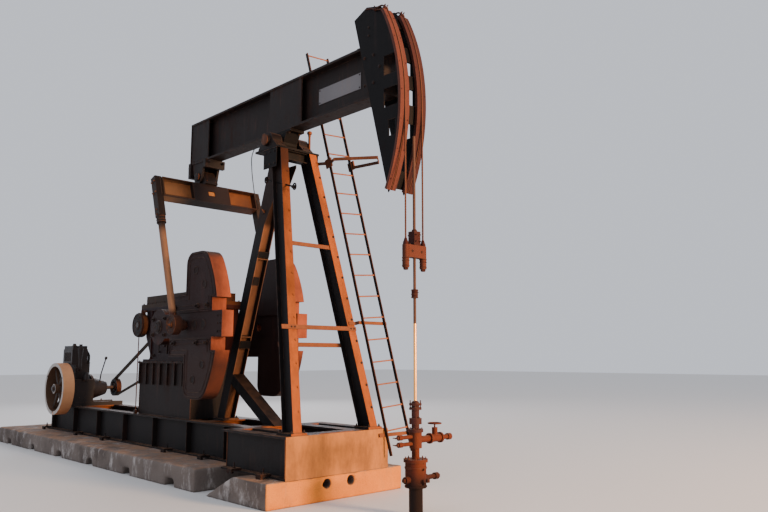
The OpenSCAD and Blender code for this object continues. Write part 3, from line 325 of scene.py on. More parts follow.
def weathered_metal(name, paint, rust, orange, amount=0.5, patch=1.4, side=0.8, lean=0.0, front=-100.0,
                    out=-1.0, edge=0.5, edge_colour=(0.20, 0.10, 0.06), dust=0.45, streaks=0.35,
                    rough=(0.55, 0.9), bump=0.012, gloss=0.16):
    """Paint under patchy rust. paint, rust, orange and edge_colour are linear colours."""
    material, tree, shader = new_material(name)
    rust_mask = place_group(tree, rust_group, Amount=amount, Patch_Size=patch)
    side_mask = place_group(tree, rust_and_sun_group, Strength=side, Lean=lean, Front=front, Out=out)
    edge_mask = place_group(tree, edge_group, Width=0.010, Strength=edge)
    tone = add_noise(tree, 0.9, 3.0, 0.5)
    varied_paint = add_mix(tree, tone, tuple(0.65 * c for c in paint), tuple(1.35 * c for c in paint))
    varied_rust = add_mix(tree, add_noise(tree, 11.0, 6.0, 0.7), tuple(0.6 * c for c in rust), rust)
    colour = add_mix(tree, rust_mask, varied_paint, varied_rust)
    colour = add_mix(tree, place_group(tree, streak_group, Scale=15.0, Strength=streaks), colour,
                     tuple(1.9 * c for c in rust))
    # Orange for the side that faces the well: rust and painted sunlight.
    sun_and_rust = add_mix(tree, add_noise(tree, 5.0, 6.0, 0.7), tuple(0.55 * c for c in orange), orange)
    colour = add_mix(tree, side_mask, colour, sun_and_rust)
    colour = add_mix(tree, place_group(tree, dust_group, Strength=dust), colour, DUST)
    colour = add_mix(tree, edge_mask, colour, edge_colour)
    tree.links.new(colour, shader.inputs["Base Color"])
    spread = add_math(tree, "MAXIMUM", rust_mask, side_mask)
    roughness = add_math(tree, "ADD", product(tree, spread, rough[1] - rough[0]), rough[0])
    tree.links.new(roughness, shader.inputs["Roughness"])
    shader.inputs["Specular IOR Level"].default_value = gloss
    height = place_group(tree, grain_group, Scale=90.0, Dents=0.6)
    height = add_math(tree, "ADD", height, product(tree, rust_mask, 0.8))
    add_relief(tree, shader, height, bump, 0.35)
    return material


# %% Steel finishes
PAINT = (0.0100, 0.0085, 0.0090)
BROWN = (0.030, 0.0145, 0.0110)
ORANGE = (0.42, 0.120, 0.034)
LEG_LEAN = 0.238
finish = {}
finish["dark_steel"] = weathered_metal("dark painted steel", PAINT, BROWN, ORANGE, amount=0.42, patch=0.8,
                                       side=0.85)
finish["beam"] = weathered_metal(
    "beam steel", (0.0125, 0.0085, 0.0080), (0.044, 0.0175, 0.0115), ORANGE, amount=0.55, patch=0.55,
    side=0.0, edge=0.35)
finish["head plate"] = weathered_metal(
    "head plate steel", (0.0052, 0.0045, 0.0050), (0.015, 0.0080, 0.0068), ORANGE, amount=0.42, patch=0.55,
    side=0.0, edge=0.25, dust=0.12, gloss=0.10)
# The front legs are orange on the well side, partly rust and partly painted sunlight, and keep the faces
# inside their section dark as painted shade.
for leg in ("front leg", "near leg"):
    finish[leg] = weathered_metal(leg + " steel", PAINT, BROWN, (0.42, 0.105, 0.021), amount=0.42, patch=0.8,
                                  side=1.0, lean=LEG_LEAN, front=1.50)
finish["skid front"] = weathered_metal(
    "skid front steel", PAINT, BROWN, (0.60, 0.23, 0.062), amount=0.42, patch=0.8, side=0.95)
finish["rear leg"] = weathered_metal("rear leg steel", PAINT, BROWN, (0.27, 0.115, 0.056), amount=0.42,
                                     patch=0.8, side=0.85)
finish["equalizer"] = weathered_metal(
    "equalizer steel", PAINT, BROWN, (0.34, 0.120, 0.040), amount=0.40, patch=1.2, side=1.0, out=0.36)
finish["rusty_steel"] = weathered_metal(
    "rusty steel", (0.060, 0.024, 0.014), (0.110, 0.040, 0.019), (0.30, 0.095, 0.036), amount=0.6,
    patch=2.0, side=0.85, edge=0.3)
finish["track"] = weathered_metal(
    "rope track steel", (0.070, 0.024, 0.018), (0.120, 0.038, 0.024), (0.145, 0.042, 0.027), amount=0.55,
    patch=2.2, side=0.9, edge=0.2)
finish["pitman"] = weathered_metal(
    "pitman steel", (0.220, 0.105, 0.056), (0.300, 0.125, 0.064), (0.46, 0.210, 0.100), amount=0.5,
    patch=1.8, side=0.8, edge=0.3)
finish["ladder"] = weathered_metal(
    "ladder steel", (0.010, 0.007, 0.006), (0.030, 0.014, 0.010), (0.30, 0.090, 0.035), amount=0.4,
    patch=3.0, side=0.35, edge=0.2)
print("steel finishes", sorted(finish))

# %% Iron finishes
finish["dark_iron"] = weathered_metal(
    "dark painted casting", (0.0120, 0.0095, 0.0095), (0.034, 0.0165, 0.0125), (0.16, 0.048, 0.022),
    amount=0.40, patch=1.1, side=0.85, edge=0.35, bump=0.02)
finish["plain iron"] = weathered_metal(
    "plain casting", (0.0150, 0.0095, 0.0090), (0.036, 0.0150, 0.0115), ORANGE, amount=0.45, patch=1.1,
    side=0.0, edge=0.35, bump=0.02)
finish["reducer"] = weathered_metal(
    "red brown casting", (0.0110, 0.0042, 0.0052), (0.024, 0.0068, 0.0066), (0.058, 0.0120, 0.0095),
    amount=0.45, patch=1.1, side=0.85, edge=0.35, bump=0.02)
finish["reducer cover"] = weathered_metal(
    "dusty brown casting", (0.0230, 0.0120, 0.0062), (0.066, 0.0230, 0.0085), (0.12, 0.036, 0.014),
    amount=0.45, patch=1.1, side=0.85, edge=0.35, bump=0.02)
finish["weights"] = weathered_metal(
    "counterweight iron", (0.0185, 0.0080, 0.0076), (0.041, 0.0120, 0.0095), (0.46, 0.110, 0.046),
    amount=0.45, patch=0.9, side=0.95, edge=0.3, bump=0.02)
finish["engine"] = weathered_metal(
    "greasy engine iron", (0.0095, 0.0065, 0.0065), (0.024, 0.0115, 0.0090), (0.030, 0.0140, 0.0095),
    amount=0.45, patch=3.0, side=0.5, edge=0.4, rough=(0.38, 0.8), gloss=0.3)
finish["red_iron"] = weathered_metal(
    "red wellhead iron", (0.070, 0.0130, 0.0055), (0.044, 0.0130, 0.0060), (0.170, 0.036, 0.0115),
    amount=0.60, patch=5.0, side=0.7, edge=0.5, streaks=0.6)
finish["clamp"] = weathered_metal(
    "greasy clamp iron", (0.030, 0.0050, 0.0032), (0.026, 0.0062, 0.0040), (0.060, 0.0105, 0.0048),
    amount=0.55, patch=6.0, side=0.6)
finish["stuffing box"] = weathered_metal(
    "oily stuffing box iron", (0.042, 0.0065, 0.0034), (0.032, 0.0075, 0.0040), (0.066, 0.0100, 0.0045),
    amount=0.60, patch=5.0, side=0.7, edge=0.4, streaks=0.6, rough=(0.45, 0.8), gloss=0.25)
finish["carrier"] = weathered_metal(
    "carrier steel", (0.045, 0.014, 0.009), (0.075, 0.022, 0.012), (0.140, 0.037, 0.019), amount=0.6,
    patch=2.0, side=0.85, edge=0.3)
finish["pale_plate"] = weathered_metal(
    "blank faded plate", (0.150, 0.143, 0.150), (0.100, 0.080, 0.072), (0.2, 0.16, 0.14), amount=0.15,
    patch=3.0, side=0.0, edge=0.6, edge_colour=(0.05, 0.04, 0.035), dust=0.2, rough=(0.5, 0.75))
print("with iron", len(finish), "finishes")

# %% [markdown]
# The flywheel was painted pale on the face that shows, its rim is brown with rust and grease, and the
# spokes inside are dark. Masks from the direction of the surface and from the radius part them, so one
# material does for the whole casting and no faces have to be picked.

# %% Flywheel iron
FLYWHEEL_X, FLYWHEEL_Z = -7.0, 1.245
FACE_Y = -0.84
RIM_INSIDE = 0.478
FLYWHEEL_INNER_DARK = (0.035, 0.023, 0.018)
material = weathered_metal(
    "pale flywheel iron", (0.66, 0.285, 0.135), (0.50, 0.210, 0.095), (0.78, 0.380, 0.180), amount=0.45,
    patch=6.0, side=0.7, edge=0.4, edge_colour=(0.08, 0.05, 0.035))
tree = material.node_tree
shader = tree.nodes["Principled BSDF"]
below = shader.inputs["Base Color"].links[0].from_socket
painted = add_step(tree, product(tree, add_axes(tree, "Normal")["Y"], -1.0), 0.6, 0.9)
kept = product(tree, painted, add_step(tree, add_noise(tree, 9.0, 6.0, 0.7), 0.30, 0.46))
axes = add_axes(tree, "Object")
in_front = add_math(tree, "LESS_THAN", axes["Y"], FACE_Y)
from_axis = [add_math(tree, "POWER", add_math(tree, "ADD", axes[name], shift), 2.0)
             for name, shift in (("X", -FLYWHEEL_X), ("Z", -FLYWHEEL_Z))]
inside = add_math(tree, "LESS_THAN", add_math(tree, "ADD", *from_axis), RIM_INSIDE ** 2)
# Inside the rim and on the spokes the colour goes dark.
below = add_mix(tree, product(tree, inside, 0.9), below, FLYWHEEL_INNER_DARK)
behind = product(tree, painted, add_math(tree, "SUBTRACT", 1.0, in_front))
below = add_mix(tree, behind, below, FLYWHEEL_INNER_DARK)
kept = product(tree, kept, in_front)
tree.links.new(add_mix(tree, kept, below, (0.40, 0.37, 0.345)), shader.inputs["Base Color"])
finish["pale_iron"] = material
print(material.name, len(tree.nodes), "nodes")

# %% [markdown]
# Colour changes along some pieces, and several of these fades are painted light and shade: the casing
# goes near black towards the ground as a painted shadow, and the far end of the equalizer is darker than
# the near one as painted shade. A fade mixes a finish toward a colour along an axis.
# One axis leans with the equalizer: its flanges stand out of its web and are darker. Colours stored in
# the points of a mesh could do this, but the frame's meshes stay as they are.

# %% Fades along a piece
UP = (0.0, 0.0, 1.0)
ACROSS = (0.0, 1.0, 0.0)
OUT_OF_WEB = (0.9474, 0.0, 0.3199)
DARK = (0.020, 0.0100, 0.0075)


def reach_along(tree, direction):
    """How far a point lies along a direction, in metres from the origin."""
    dot = tree.nodes.new("ShaderNodeVectorMath")
    dot.operation = "DOT_PRODUCT"
    tree.links.new(tree.nodes.new("ShaderNodeTexCoord").outputs["Object"], dot.inputs[0])
    dot.inputs[1].default_value = direction
    return dot.outputs["Value"]


def fade(look, direction, start, stop, colour, most=1.0):
    """Mixes the colour of a finish toward another one, from start to stop along a direction."""
    tree = finish[look].node_tree
    socket = tree.nodes["Principled BSDF"].inputs["Base Color"]
    mask = product(tree, add_step(tree, reach_along(tree, direction), start, stop), most)
    tree.links.new(add_mix(tree, mask, socket.links[0].from_socket, colour), socket)


# Painted shadow: the near leg darkens towards its top.
fade("near leg", UP, 4.15, 4.95, DARK, 0.85)
fade("rear leg", UP, 3.93, 4.06, DARK, 0.95)
fade("pitman", UP, 3.90, 4.15, (0.013, 0.0095, 0.0085), 0.95)
fade("pitman", UP, 2.70, 2.59, (0.034, 0.0120, 0.0085), 0.95)
# Painted shadow: the counterweights darken towards the bottom.
fade("weights", UP, 2.20, 1.75, (0.026, 0.0110, 0.0085), 0.85)
# Painted shadow: the wellhead iron goes near black towards the ground.
fade("red_iron", UP, 0.62, 0.30, (0.0045, 0.0022, 0.0018), 0.96)
# Painted shade: the far end of the equalizer is darker.
fade("equalizer", ACROSS, 0.10, 0.80, (0.060, 0.022, 0.012), 0.75)
# Painted sunlight: the near end of the equalizer is lighter orange.
fade("equalizer", ACROSS, -0.30, -0.90, (0.38, 0.190, 0.085), 0.55)
fade("equalizer", OUT_OF_WEB, -0.625, -0.590, DARK, 0.80)
# Painted shade: the far track is darker than the near one.
fade("track", ACROSS, -0.05, 0.12, (0.042, 0.0125, 0.0100), 0.85)

# %% [markdown]
# The rungs are orange as painted sunlight, while the rails stay dark. Rungs and rails are one mesh,
# so a mask measures the distance across the leaning ladder, from its middle line out.

# %% Rungs of the ladder
tree = finish["ladder"].node_tree
socket = tree.nodes["Principled BSDF"].inputs["Base Color"]
ACROSS_LADDER = (-0.018, 0.9967, 0.0798)
LADDER_MIDDLE = 1.094
RUNG_HALF = 0.206
across = reach_along(tree, ACROSS_LADDER)
distance = add_math(tree, "ABSOLUTE", add_math(tree, "SUBTRACT", across, LADDER_MIDDLE), 0.0)
between = add_math(tree, "LESS_THAN", distance, RUNG_HALF)
# Painted sunlight on the rungs.
sunlit_rung_colour = add_mix(tree, add_noise(tree, 7.0, 5.0, 0.7), (0.16, 0.050, 0.022), (0.40, 0.135, 0.055))
tree.links.new(add_mix(tree, between, socket.links[0].from_socket, sunlit_rung_colour), socket)
print("rungs", 2.0 * RUNG_HALF, "m wide")

# %% [markdown]
# The polished rod is bright only where the stuffing box wipes it, and the warm orange of that part is
# painted low sunlight. Above that it is dark brown. A test of the height switches between the two,
# because the rod is a single bar.

# %% Rod steel
ROD_BRIGHT_TOP = 2.32
material, tree, shader = new_material("bare polished steel")
film = add_step(tree, add_noise(tree, 26.0, 5.0, 0.7, (1.0, 1.0, 0.15)), 0.45, 0.75)
# Painted sunlight: the warm orange of the bright part stands for the low sun on bare steel.
bright = add_mix(tree, film, (1.0, 0.50, 0.14), (0.62, 0.245, 0.062))
old = add_mix(tree, add_noise(tree, 30.0, 5.0, 0.7), (0.046, 0.0150, 0.0055), (0.100, 0.032, 0.0105))
wiped = add_math(tree, "LESS_THAN", add_axes(tree, "Object")["Z"], ROD_BRIGHT_TOP)
tree.links.new(add_mix(tree, wiped, old, bright), shader.inputs["Base Color"])
tree.links.new(product(tree, wiped, 0.75), shader.inputs["Metallic"])
tree.links.new(add_math(tree, "SUBTRACT", 0.75, product(tree, wiped, 0.40)),
               shader.inputs["Roughness"])
finish["bare_steel"] = material
print(material.name, "bright below", ROD_BRIGHT_TOP, "m")

# %% [markdown]
# Shaft ends are wiped by oil, so their edges shine. The rope needs no dust or worn edges, since its
# lobes are finer than both. Belts and hoses are plain rubber, with a slow change in tone and shine.

# %% Shafts and wire rope
finish["shaft"] = weathered_metal(
    "shaft end steel", (0.030, 0.024, 0.022), (0.050, 0.026, 0.018), (0.20, 0.09, 0.05), amount=0.4,
    patch=8.0, side=0.5, edge=0.8, edge_colour=(0.25, 0.20, 0.17), rough=(0.4, 0.8), gloss=0.4)
finish["rope"] = weathered_metal(
    "wire rope", (0.045, 0.020, 0.014), (0.095, 0.036, 0.020), (0.24, 0.080, 0.036), amount=0.5, patch=14.0,
    side=0.6, edge=0.0, dust=0.0)

# %% Belt rubber
material, tree, shader = new_material("belt rubber")
worn = add_step(tree, add_noise(tree, 8.0, 5.0, 0.7), 0.4, 0.8)
tree.links.new(add_mix(tree, worn, (0.008, 0.008, 0.008), (0.030, 0.024, 0.020)), shader.inputs["Base Color"])
tree.links.new(add_math(tree, "ADD", product(tree, worn, 0.2), 0.68), shader.inputs["Roughness"])
finish["belt_rubber"] = material
finish["hose"] = material
print("rope, shaft and rubber make", len(finish))

# %% [markdown]
# Old concrete is a pale grey with damp patches, dark pores and white lime bloom that runs down. The
# side that faces the well is painted orange, as a low sun lights it. Each is noise at its own scale,
# from metres to centimetres, because a casting has no pattern that repeats.

# %% Concrete
material, tree, shader = new_material("weathered concrete")
cloud = add_noise(tree, 1.7, 8.0, 0.65)
pores = add_step(tree, add_noise(tree, 60.0, 4.0, 0.7), 0.52, 0.70)
bloom = add_step(tree, add_noise(tree, 4.5, 8.0, 0.75, (1.0, 1.0, 0.4)), 0.50, 0.68)
damp = add_step(tree, add_noise(tree, 1.1, 6.0, 0.6), 0.45, 0.70)
# Painted sunlight: orange on the face toward the well.
sunlit_front = place_group(tree, rust_and_sun_group, Strength=1.45, Front=0.3)
sunlit_orange = add_mix(tree, cloud, (0.40, 0.110, 0.012), (0.86, 0.300, 0.045))
colour = add_mix(tree, cloud, (0.100, 0.082, 0.074), (0.24, 0.195, 0.170))
colour = add_mix(tree, damp, colour, (0.080, 0.060, 0.052))
colour = add_mix(tree, product(tree, bloom, 0.75), colour, (0.50, 0.46, 0.44))
colour = add_mix(tree, sunlit_front, colour, sunlit_orange)
colour = add_mix(tree, product(tree, pores, 0.35), colour, (0.070, 0.050, 0.042))
colour = add_mix(tree, place_group(tree, dust_group, Strength=0.8), colour, (0.36, 0.19, 0.105))
tree.links.new(colour, shader.inputs["Base Color"])
tree.links.new(add_math(tree, "SUBTRACT", 0.97, product(tree, damp, 0.15)),
               shader.inputs["Roughness"])
shader.inputs["Specular IOR Level"].default_value = 0.2
add_relief(tree, shader, add_noise(tree, 22.0, 8.0, 0.75), 0.02, 0.6)
finish["concrete"] = material
print("all finishes", len(finish))

# %% [markdown]
# ## Giving each node its finish
# The imported record names one material slot for each node. Many nodes take a finish of their own in
# place of the slot's common one, because the real pieces weathered differently. The head ties and the
# knee brace take the dark head plate finish as painted shade. A table of names is easier to read and
# change than a line of code for each node.

# %% Dress the nodes
nodes_of_look = {
    "beam": ["walking_beam", "tail_hanger", "equalizer_bearing", "center_bearings", "reducer_pedestal"],
    "near leg": ["front_leg_near"],
    "front leg": ["front_leg_far"],
    "rear leg": ["rear_leg"],
    "equalizer": ["equalizer_beam"],
    # head_ties and knee_brace are dark here as painted shade.
    "head plate": ["head_plates", "head_ties", "center_saddle", "post_top", "knee_brace"],
    "track": ["head_tracks"],
    "skid front": ["skid_front_plate"],
    "pitman": ["pitman_near", "pitman_far"],
    "ladder": ["ladder"],
    "weights": ["weights_near", "weights_far", "crank_near", "crank_far"],
    "reducer": ["reducer_case"],
    "reducer cover": ["reducer_cover"],
    "engine": ["engine_block", "engine_radiator", "clutch_housing", "air_cleaner", "engine_sills"],
    "shaft": ["crankshaft", "input_shaft", "engine_shaft"],
    "stuffing box": ["stuffing_box"],
    "clamp": ["rod_clamp"],
    "carrier": ["carrier_bar"],
}
own_look = {node: look for look, nodes in nodes_of_look.items() for node in nodes}
slot_of = {row["node"]: row["material_slot"] for row in frame["record"]["subparts"]}
for name, obj in frame["nodes"].items():
    obj.data.materials.clear()
    obj.data.materials.append(finish[own_look.get(name, slot_of[name])])
print("dressed", len(slot_of), "nodes")

# %% [markdown]
# ## Tools for small iron
# Bolts, welds, rings and ropes repeat by the hundred. Each helper adds points and faces to one list,
# and the list becomes one mesh for one area of the machine. That is far quicker than one Blender
# object for each bolt, and the mesh is still real geometry with the right outline from every side.

# %% A list of points and faces
class Parts:
    """Points and faces gathered for one mesh."""

    def __init__(self):
        self.points = []
        self.faces = []

    def add(self, points, faces, place=None):
        """Adds points, moved by a matrix, and faces that count from the first of them."""
        start = len(self.points)
        place = place or Matrix.Identity(4)
        self.points += [place @ Vector(p) for p in points]
        self.faces += [tuple(start + i for i in face) for face in faces]


def make_piece(name, parts, look, body, angle=40.0):
    """Turns a list into a mesh object with a finish, riding on a body unless that is None."""
    mesh = bpy.data.meshes.new(name)
    mesh.from_pydata([tuple(p) for p in parts.points], [], parts.faces)
    mesh.validate()
    mesh.shade_smooth()
    mesh.set_sharp_from_angle(angle=math.radians(angle))
    mesh.materials.append(finish[look])
    obj = bpy.data.objects.new(name, mesh)
    bpy.context.scene.collection.objects.link(obj)
    if body:
        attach(obj, body)
    print(name, len(mesh.vertices), "points")
    return obj


# %% Turned shapes
def facing(place, direction):
    """A matrix whose Z axis points along a direction, at a place."""
    return Matrix.Translation(Vector(place)) @ Vector(direction).to_track_quat("Z", "Y").to_matrix().to_4x4()


def turned(parts, place, direction, sections, sides=24, spin=0.0):
    """A closed turned shape. sections are (radius, height) pairs from the bottom up."""
    points = []
    for radius, height in sections:
        for i in range(sides):
            a = spin + 2.0 * math.pi * i / sides
            points.append((radius * math.cos(a), radius * math.sin(a), height))
    faces = [tuple(reversed(range(sides)))]
    for j in range(len(sections) - 1):
        for i in range(sides):
            k = (i + 1) % sides
            faces.append((j * sides + i, j * sides + k, (j + 1) * sides + k, (j + 1) * sides + i))
    top = (len(sections) - 1) * sides
    faces.append(tuple(range(top, top + sides)))
    parts.add(points, faces, facing(place, direction))


def bolt(parts, place, direction, size, stud=0.0):
    """A washer and a hexagon head or nut, with a stud through it if stud is more than 0."""
    h = 0.65 * size
    turned(parts, place, direction, [(1.05 * size, -0.002), (1.05 * size, 0.14 * size)], 16)
    spin = 5.0 * sum(place)
    turned(parts, place, direction, [(0.86 * size, 0.14 * size), (0.86 * size, 0.9 * h), (0.70 * size, h)],
           6, spin)
    if stud > 0.0:
        turned(parts, place, direction, [(0.45 * size, 0.9 * h), (0.45 * size, h + stud),
                                         (0.36 * size, h + stud * 1.15)], 10)


def bolt_row(parts, a, b, count, direction, size, stud=0.0):
    """Bolts evenly spaced from a to b."""
    for i in range(count):
        t = i / (count - 1) if count > 1 else 0.5
        bolt(parts, Vector(a).lerp(Vector(b), t), direction, size, stud)


def bolt_ring(parts, center, direction, radius, count, size, stud=0.0, spin=0.0):
    """Bolts evenly spaced on a circle round an axis."""
    frame_here = facing(center, direction)
    for i in range(count):
        a = spin + 2.0 * math.pi * i / count
        bolt(parts, frame_here @ Vector((radius * math.cos(a), radius * math.sin(a), 0.0)), direction, size,
             stud)


# %% Blocks, sweeps and welds
def block(parts, place, size, edge=0.004):
    """A box with cut edges. place is its middle point or a matrix, size its three lengths."""
    bm = bmesh.new()
    bmesh.ops.create_cube(bm, size=1.0)
    bmesh.ops.scale(bm, vec=size, verts=bm.verts)
    bmesh.ops.bevel(bm, geom=bm.edges[:], offset=edge, segments=2, affect="EDGES")
    bm.verts.index_update()
    if not isinstance(place, Matrix):
        place = Matrix.Translation(Vector(place))
    parts.add([v.co.copy() for v in bm.verts], [[v.index for v in f.verts] for f in bm.faces], place)
    bm.free()


def sweep(parts, path, radius, sides=8, closed=False, shape=None):
    """A tube along a path. radius is a number or a function of the step.

    shape gives a factor of the radius from the step and the angle.
    """
    path = [Vector(p) for p in path]
    n = len(path)
    points = []
    side = None
    for i, p in enumerate(path):
        before = path[i - 1] if i > 0 or closed else p
        after = path[(i + 1) % n] if i < n - 1 or closed else p
        along = (after - before).normalized()
        if side is None:
            side = along.orthogonal().normalized()
        side = (side - along * side.dot(along)).normalized()
        other = along.cross(side)
        r = radius(i) if callable(radius) else radius
        for k in range(sides):
            a = 2.0 * math.pi * k / sides
            factor = shape(i, a) if shape else 1.0
            points.append(p + (side * math.cos(a) + other * math.sin(a)) * r * factor)
    faces = []
    for i in range(n if closed else n - 1):
        j = (i + 1) % n
        for k in range(sides):
            m = (k + 1) % sides
            faces.append((i * sides + k, j * sides + k, j * sides + m, i * sides + m))
    if not closed:
        faces.append(tuple(range(sides)))
        faces.append(tuple(reversed(range((n - 1) * sides, n * sides))))
        faces = [tuple(reversed(f)) for f in faces]
    parts.add(points, faces)


def smooth_path(knots, step):
    """Points about step apart on a smooth curve through the knots."""
    knots = [Vector(k) for k in knots]
    ends = [2.0 * knots[0] - knots[1]] + knots + [2.0 * knots[-1] - knots[-2]]
    path = []
    for i in range(1, len(ends) - 2):
        p0, p1, p2, p3 = ends[i - 1:i + 3]
        n = max(2, math.ceil((p2 - p1).length / step))
        for k in range(n):
            t = k / n
            path.append(0.5 * (2.0 * p1 + (p2 - p0) * t + (2.0 * p0 - 5.0 * p1 + 4.0 * p2 - p3) * t * t
                               + (3.0 * p1 - p0 - 3.0 * p2 + p3) * t ** 3))
    return path + [knots[-1]]


def ripples(radius):
    """The radius of a weld bead as a function of the step."""
    return lambda i: radius * (1.0 + 0.22 * math.sin(2.4 * i))


def weld(parts, a, b, radius=0.007, step=0.016):
    """A weld bead with ripples, from a to b, half sunk in the corner."""
    a, b = Vector(a), Vector(b)
    n = max(3, round((b - a).length / step))
    sweep(parts, [a.lerp(b, i / n) for i in range(n + 1)], ripples(radius), 6)


def rope_path(parts, path, radius, pitch, strands=6):
    """A laid wire rope: a tube with lobes that wind round it."""
    reach = [0.0]
    for i in range(1, len(path)):
        reach.append(reach[-1] + (Vector(path[i]) - Vector(path[i - 1])).length)
    sweep(parts, path, radius, 3 * strands,
          shape=lambda i, a: 0.88 + 0.12 * math.cos(strands * (a - 2.0 * math.pi * reach[i] / pitch)))


# %% [markdown]
# ## The post and its bearings
# The legs are I sections with a row of bolts along the front flange. Big bolts hold the bearing
# blocks down on the top plate, and smaller ones hold the feet to the skid. The legs lean, so a small
# function gives a point on the front face of a leg from a height.

# %% Frame of a front leg
LEG_FOOT = (1.205, 0.680, 0.910)
LEG_HEAD = (0.215, 0.272, 5.070)
LEG_HALF_D = 0.125
LEG_HALF_W = 0.070
REAR_FOOT_X, REAR_HEAD_X, REAR_RISE = -1.535, -0.145, 4.16
POST_TOP = 5.100
PIVOT = Vector((0.0, 0.0, 5.245))
leg_slope = (LEG_HEAD[0] - LEG_FOOT[0]) / (LEG_HEAD[2] - LEG_FOOT[2])
leg_turn = math.atan(leg_slope)
leg_normal = Vector((math.cos(leg_turn), 0.0, -math.sin(leg_turn)))


def leg_point(side, z, forward=0.0, out=0.0):
    """A point on a front leg: side is -1 near or 1 far, forward is across the leg, out is along Y."""
    t = (z - LEG_FOOT[2]) / (LEG_HEAD[2] - LEG_FOOT[2])
    axis = Vector((LEG_FOOT[0] + (LEG_HEAD[0] - LEG_FOOT[0]) * t,
                   side * (LEG_FOOT[1] + (LEG_HEAD[1] - LEG_FOOT[1]) * t), z))
    return axis + leg_normal * forward + Vector((0.0, out, 0.0))


# %% Bolts of the post
parts = Parts()
lit = Parts()
LEG_BOLT_PITCH = 0.319
for side, bolts in ((-1, lit), (1, parts)):
    for i in range(12):
        bolt(bolts, leg_point(side, 1.155 + i * LEG_BOLT_PITCH, LEG_HALF_D, 0.040), leg_normal, 0.019)
    for z, way in ((2.29, 1), (2.11, -1)):
        for out in (-0.03, 0.03):
            bolt(parts, leg_point(side, z, way * (LEG_HALF_D + 0.014), out), leg_normal * way, 0.014)
    for dx in (-0.13, 0.13):
        for dy in (-0.10, 0.10):
            bolt(parts, (LEG_FOOT[0] + dx, side * LEG_FOOT[1] + dy, LEG_FOOT[2]), (0, 0, 1), 0.024, 0.02)
    for dx in (-0.205, 0.205):
        for y in (0.20, 0.32):
            bolt(parts, (dx, side * y, POST_TOP + 0.045), (0, 0, 1), 0.026, 0.025)
    for dx in (-0.20, 0.26):
        bolt(parts, (dx, side * 0.36, POST_TOP), (0, 0, 1), 0.018, 0.012)
    for x in (0.02, 0.14, 0.26):
        for z in (4.83, 5.02):
            bolt(parts, (x, side * 0.400, z), (0, side, 0), 0.015)
for dx in (-0.13, 0.13):
    for dy in (-0.12, 0.12):
        bolt(parts, (REAR_FOOT_X + dx, dy, LEG_FOOT[2]), (0, 0, 1), 0.024, 0.02)
make_piece("post_bolts", parts, "beam", "base")
make_piece("near_leg_bolts", lit, "near leg", "base")

# %% [markdown]
# The rear leg carries cross plates on its open side, and a pin with curled ends passes through the
# near front leg below the bearings. Such a pin holds a spare rope or the grease line. Its curls are
# tubes swept round most of a circle, which is simpler than bending a straight bar.

# %% Plates, pins and grease fittings of the post
parts = Parts()
rear_turn = math.atan2(REAR_HEAD_X - REAR_FOOT_X, REAR_RISE)
rear_normal = Vector((math.cos(rear_turn), 0.0, -math.sin(rear_turn)))


def rear_point(z, forward=0.0, y=0.0):
    """A point on the rear leg at height z."""
    x = REAR_FOOT_X + (z - LEG_FOOT[2]) * math.tan(rear_turn)
    return Vector((x, y, z)) + rear_normal * forward


BATTENS = ((2.140, 0.130, 0.0, 0.204), (3.150, 0.140, -0.045, 0.110), (3.570, 0.100, 0.0, 0.204))
for z, high, y, wide in BATTENS:
    turn = Matrix.Translation(rear_point(z, 0.111, y)) @ Matrix.Rotation(rear_turn, 4, "Y")
    block(parts, turn, (0.012, wide, high))
pin_ends = (leg_point(-1, 4.718, -0.36), leg_point(-1, 4.32, 0.31))
sweep(parts, pin_ends, 0.013, 10)
for end, way in zip(pin_ends, (-1.0, 1.0)):
    curl = [end + Vector((0.02 * way + 0.035 * math.cos(t) * way, 0.0, 0.045 * math.sin(t)))
            for t in [math.pi * k / 8 for k in range(-8, 7)]]
    sweep(parts, curl, 0.012, 8)
    block(parts, Matrix.Translation(end), (0.05, 0.055, 0.04))
make_piece("post_plates", parts, "head plate", "base")

parts = Parts()
for x, y, h in ((0.155, 0.35, 0.165), (-0.155, -0.30, 0.05)):
    turned(parts, (x, y, POST_TOP + 0.03), (0, 0, 1),
           [(0.020, 0.0), (0.020, 0.12 + h), (0.024, 0.13 + h), (0.024, 0.16 + h)], 16)
    turned(parts, (x, y, POST_TOP + 0.18 + h), (0, 0, 1),
           [(0.012, 0.0), (0.036, 0.012), (0.042, 0.034), (0.036, 0.056), (0.014, 0.068)], 16)
for side in (-1, 1):
    turned(parts, PIVOT + Vector((0.0, side * 0.400, 0.0)), (0, side, 0),
           [(0.082, -0.004), (0.082, 0.010), (0.070, 0.016)], 32)
    bolt_ring(parts, PIVOT + Vector((0.0, side * 0.400, 0.0)), (0, side, 0), 0.062, 6, 0.010)
make_piece("bearing_fittings", parts, "rusty_steel", "base")

# %% [markdown]
# A thin grease hose leaves the near bearing, hangs free behind the post and ends on the rear leg. It is
# fixed at both ends, so its length is what the picture shows. A curve object with a round bevel would
# do as well. A swept mesh is used, because the same helper makes every hose, rod and bead here.

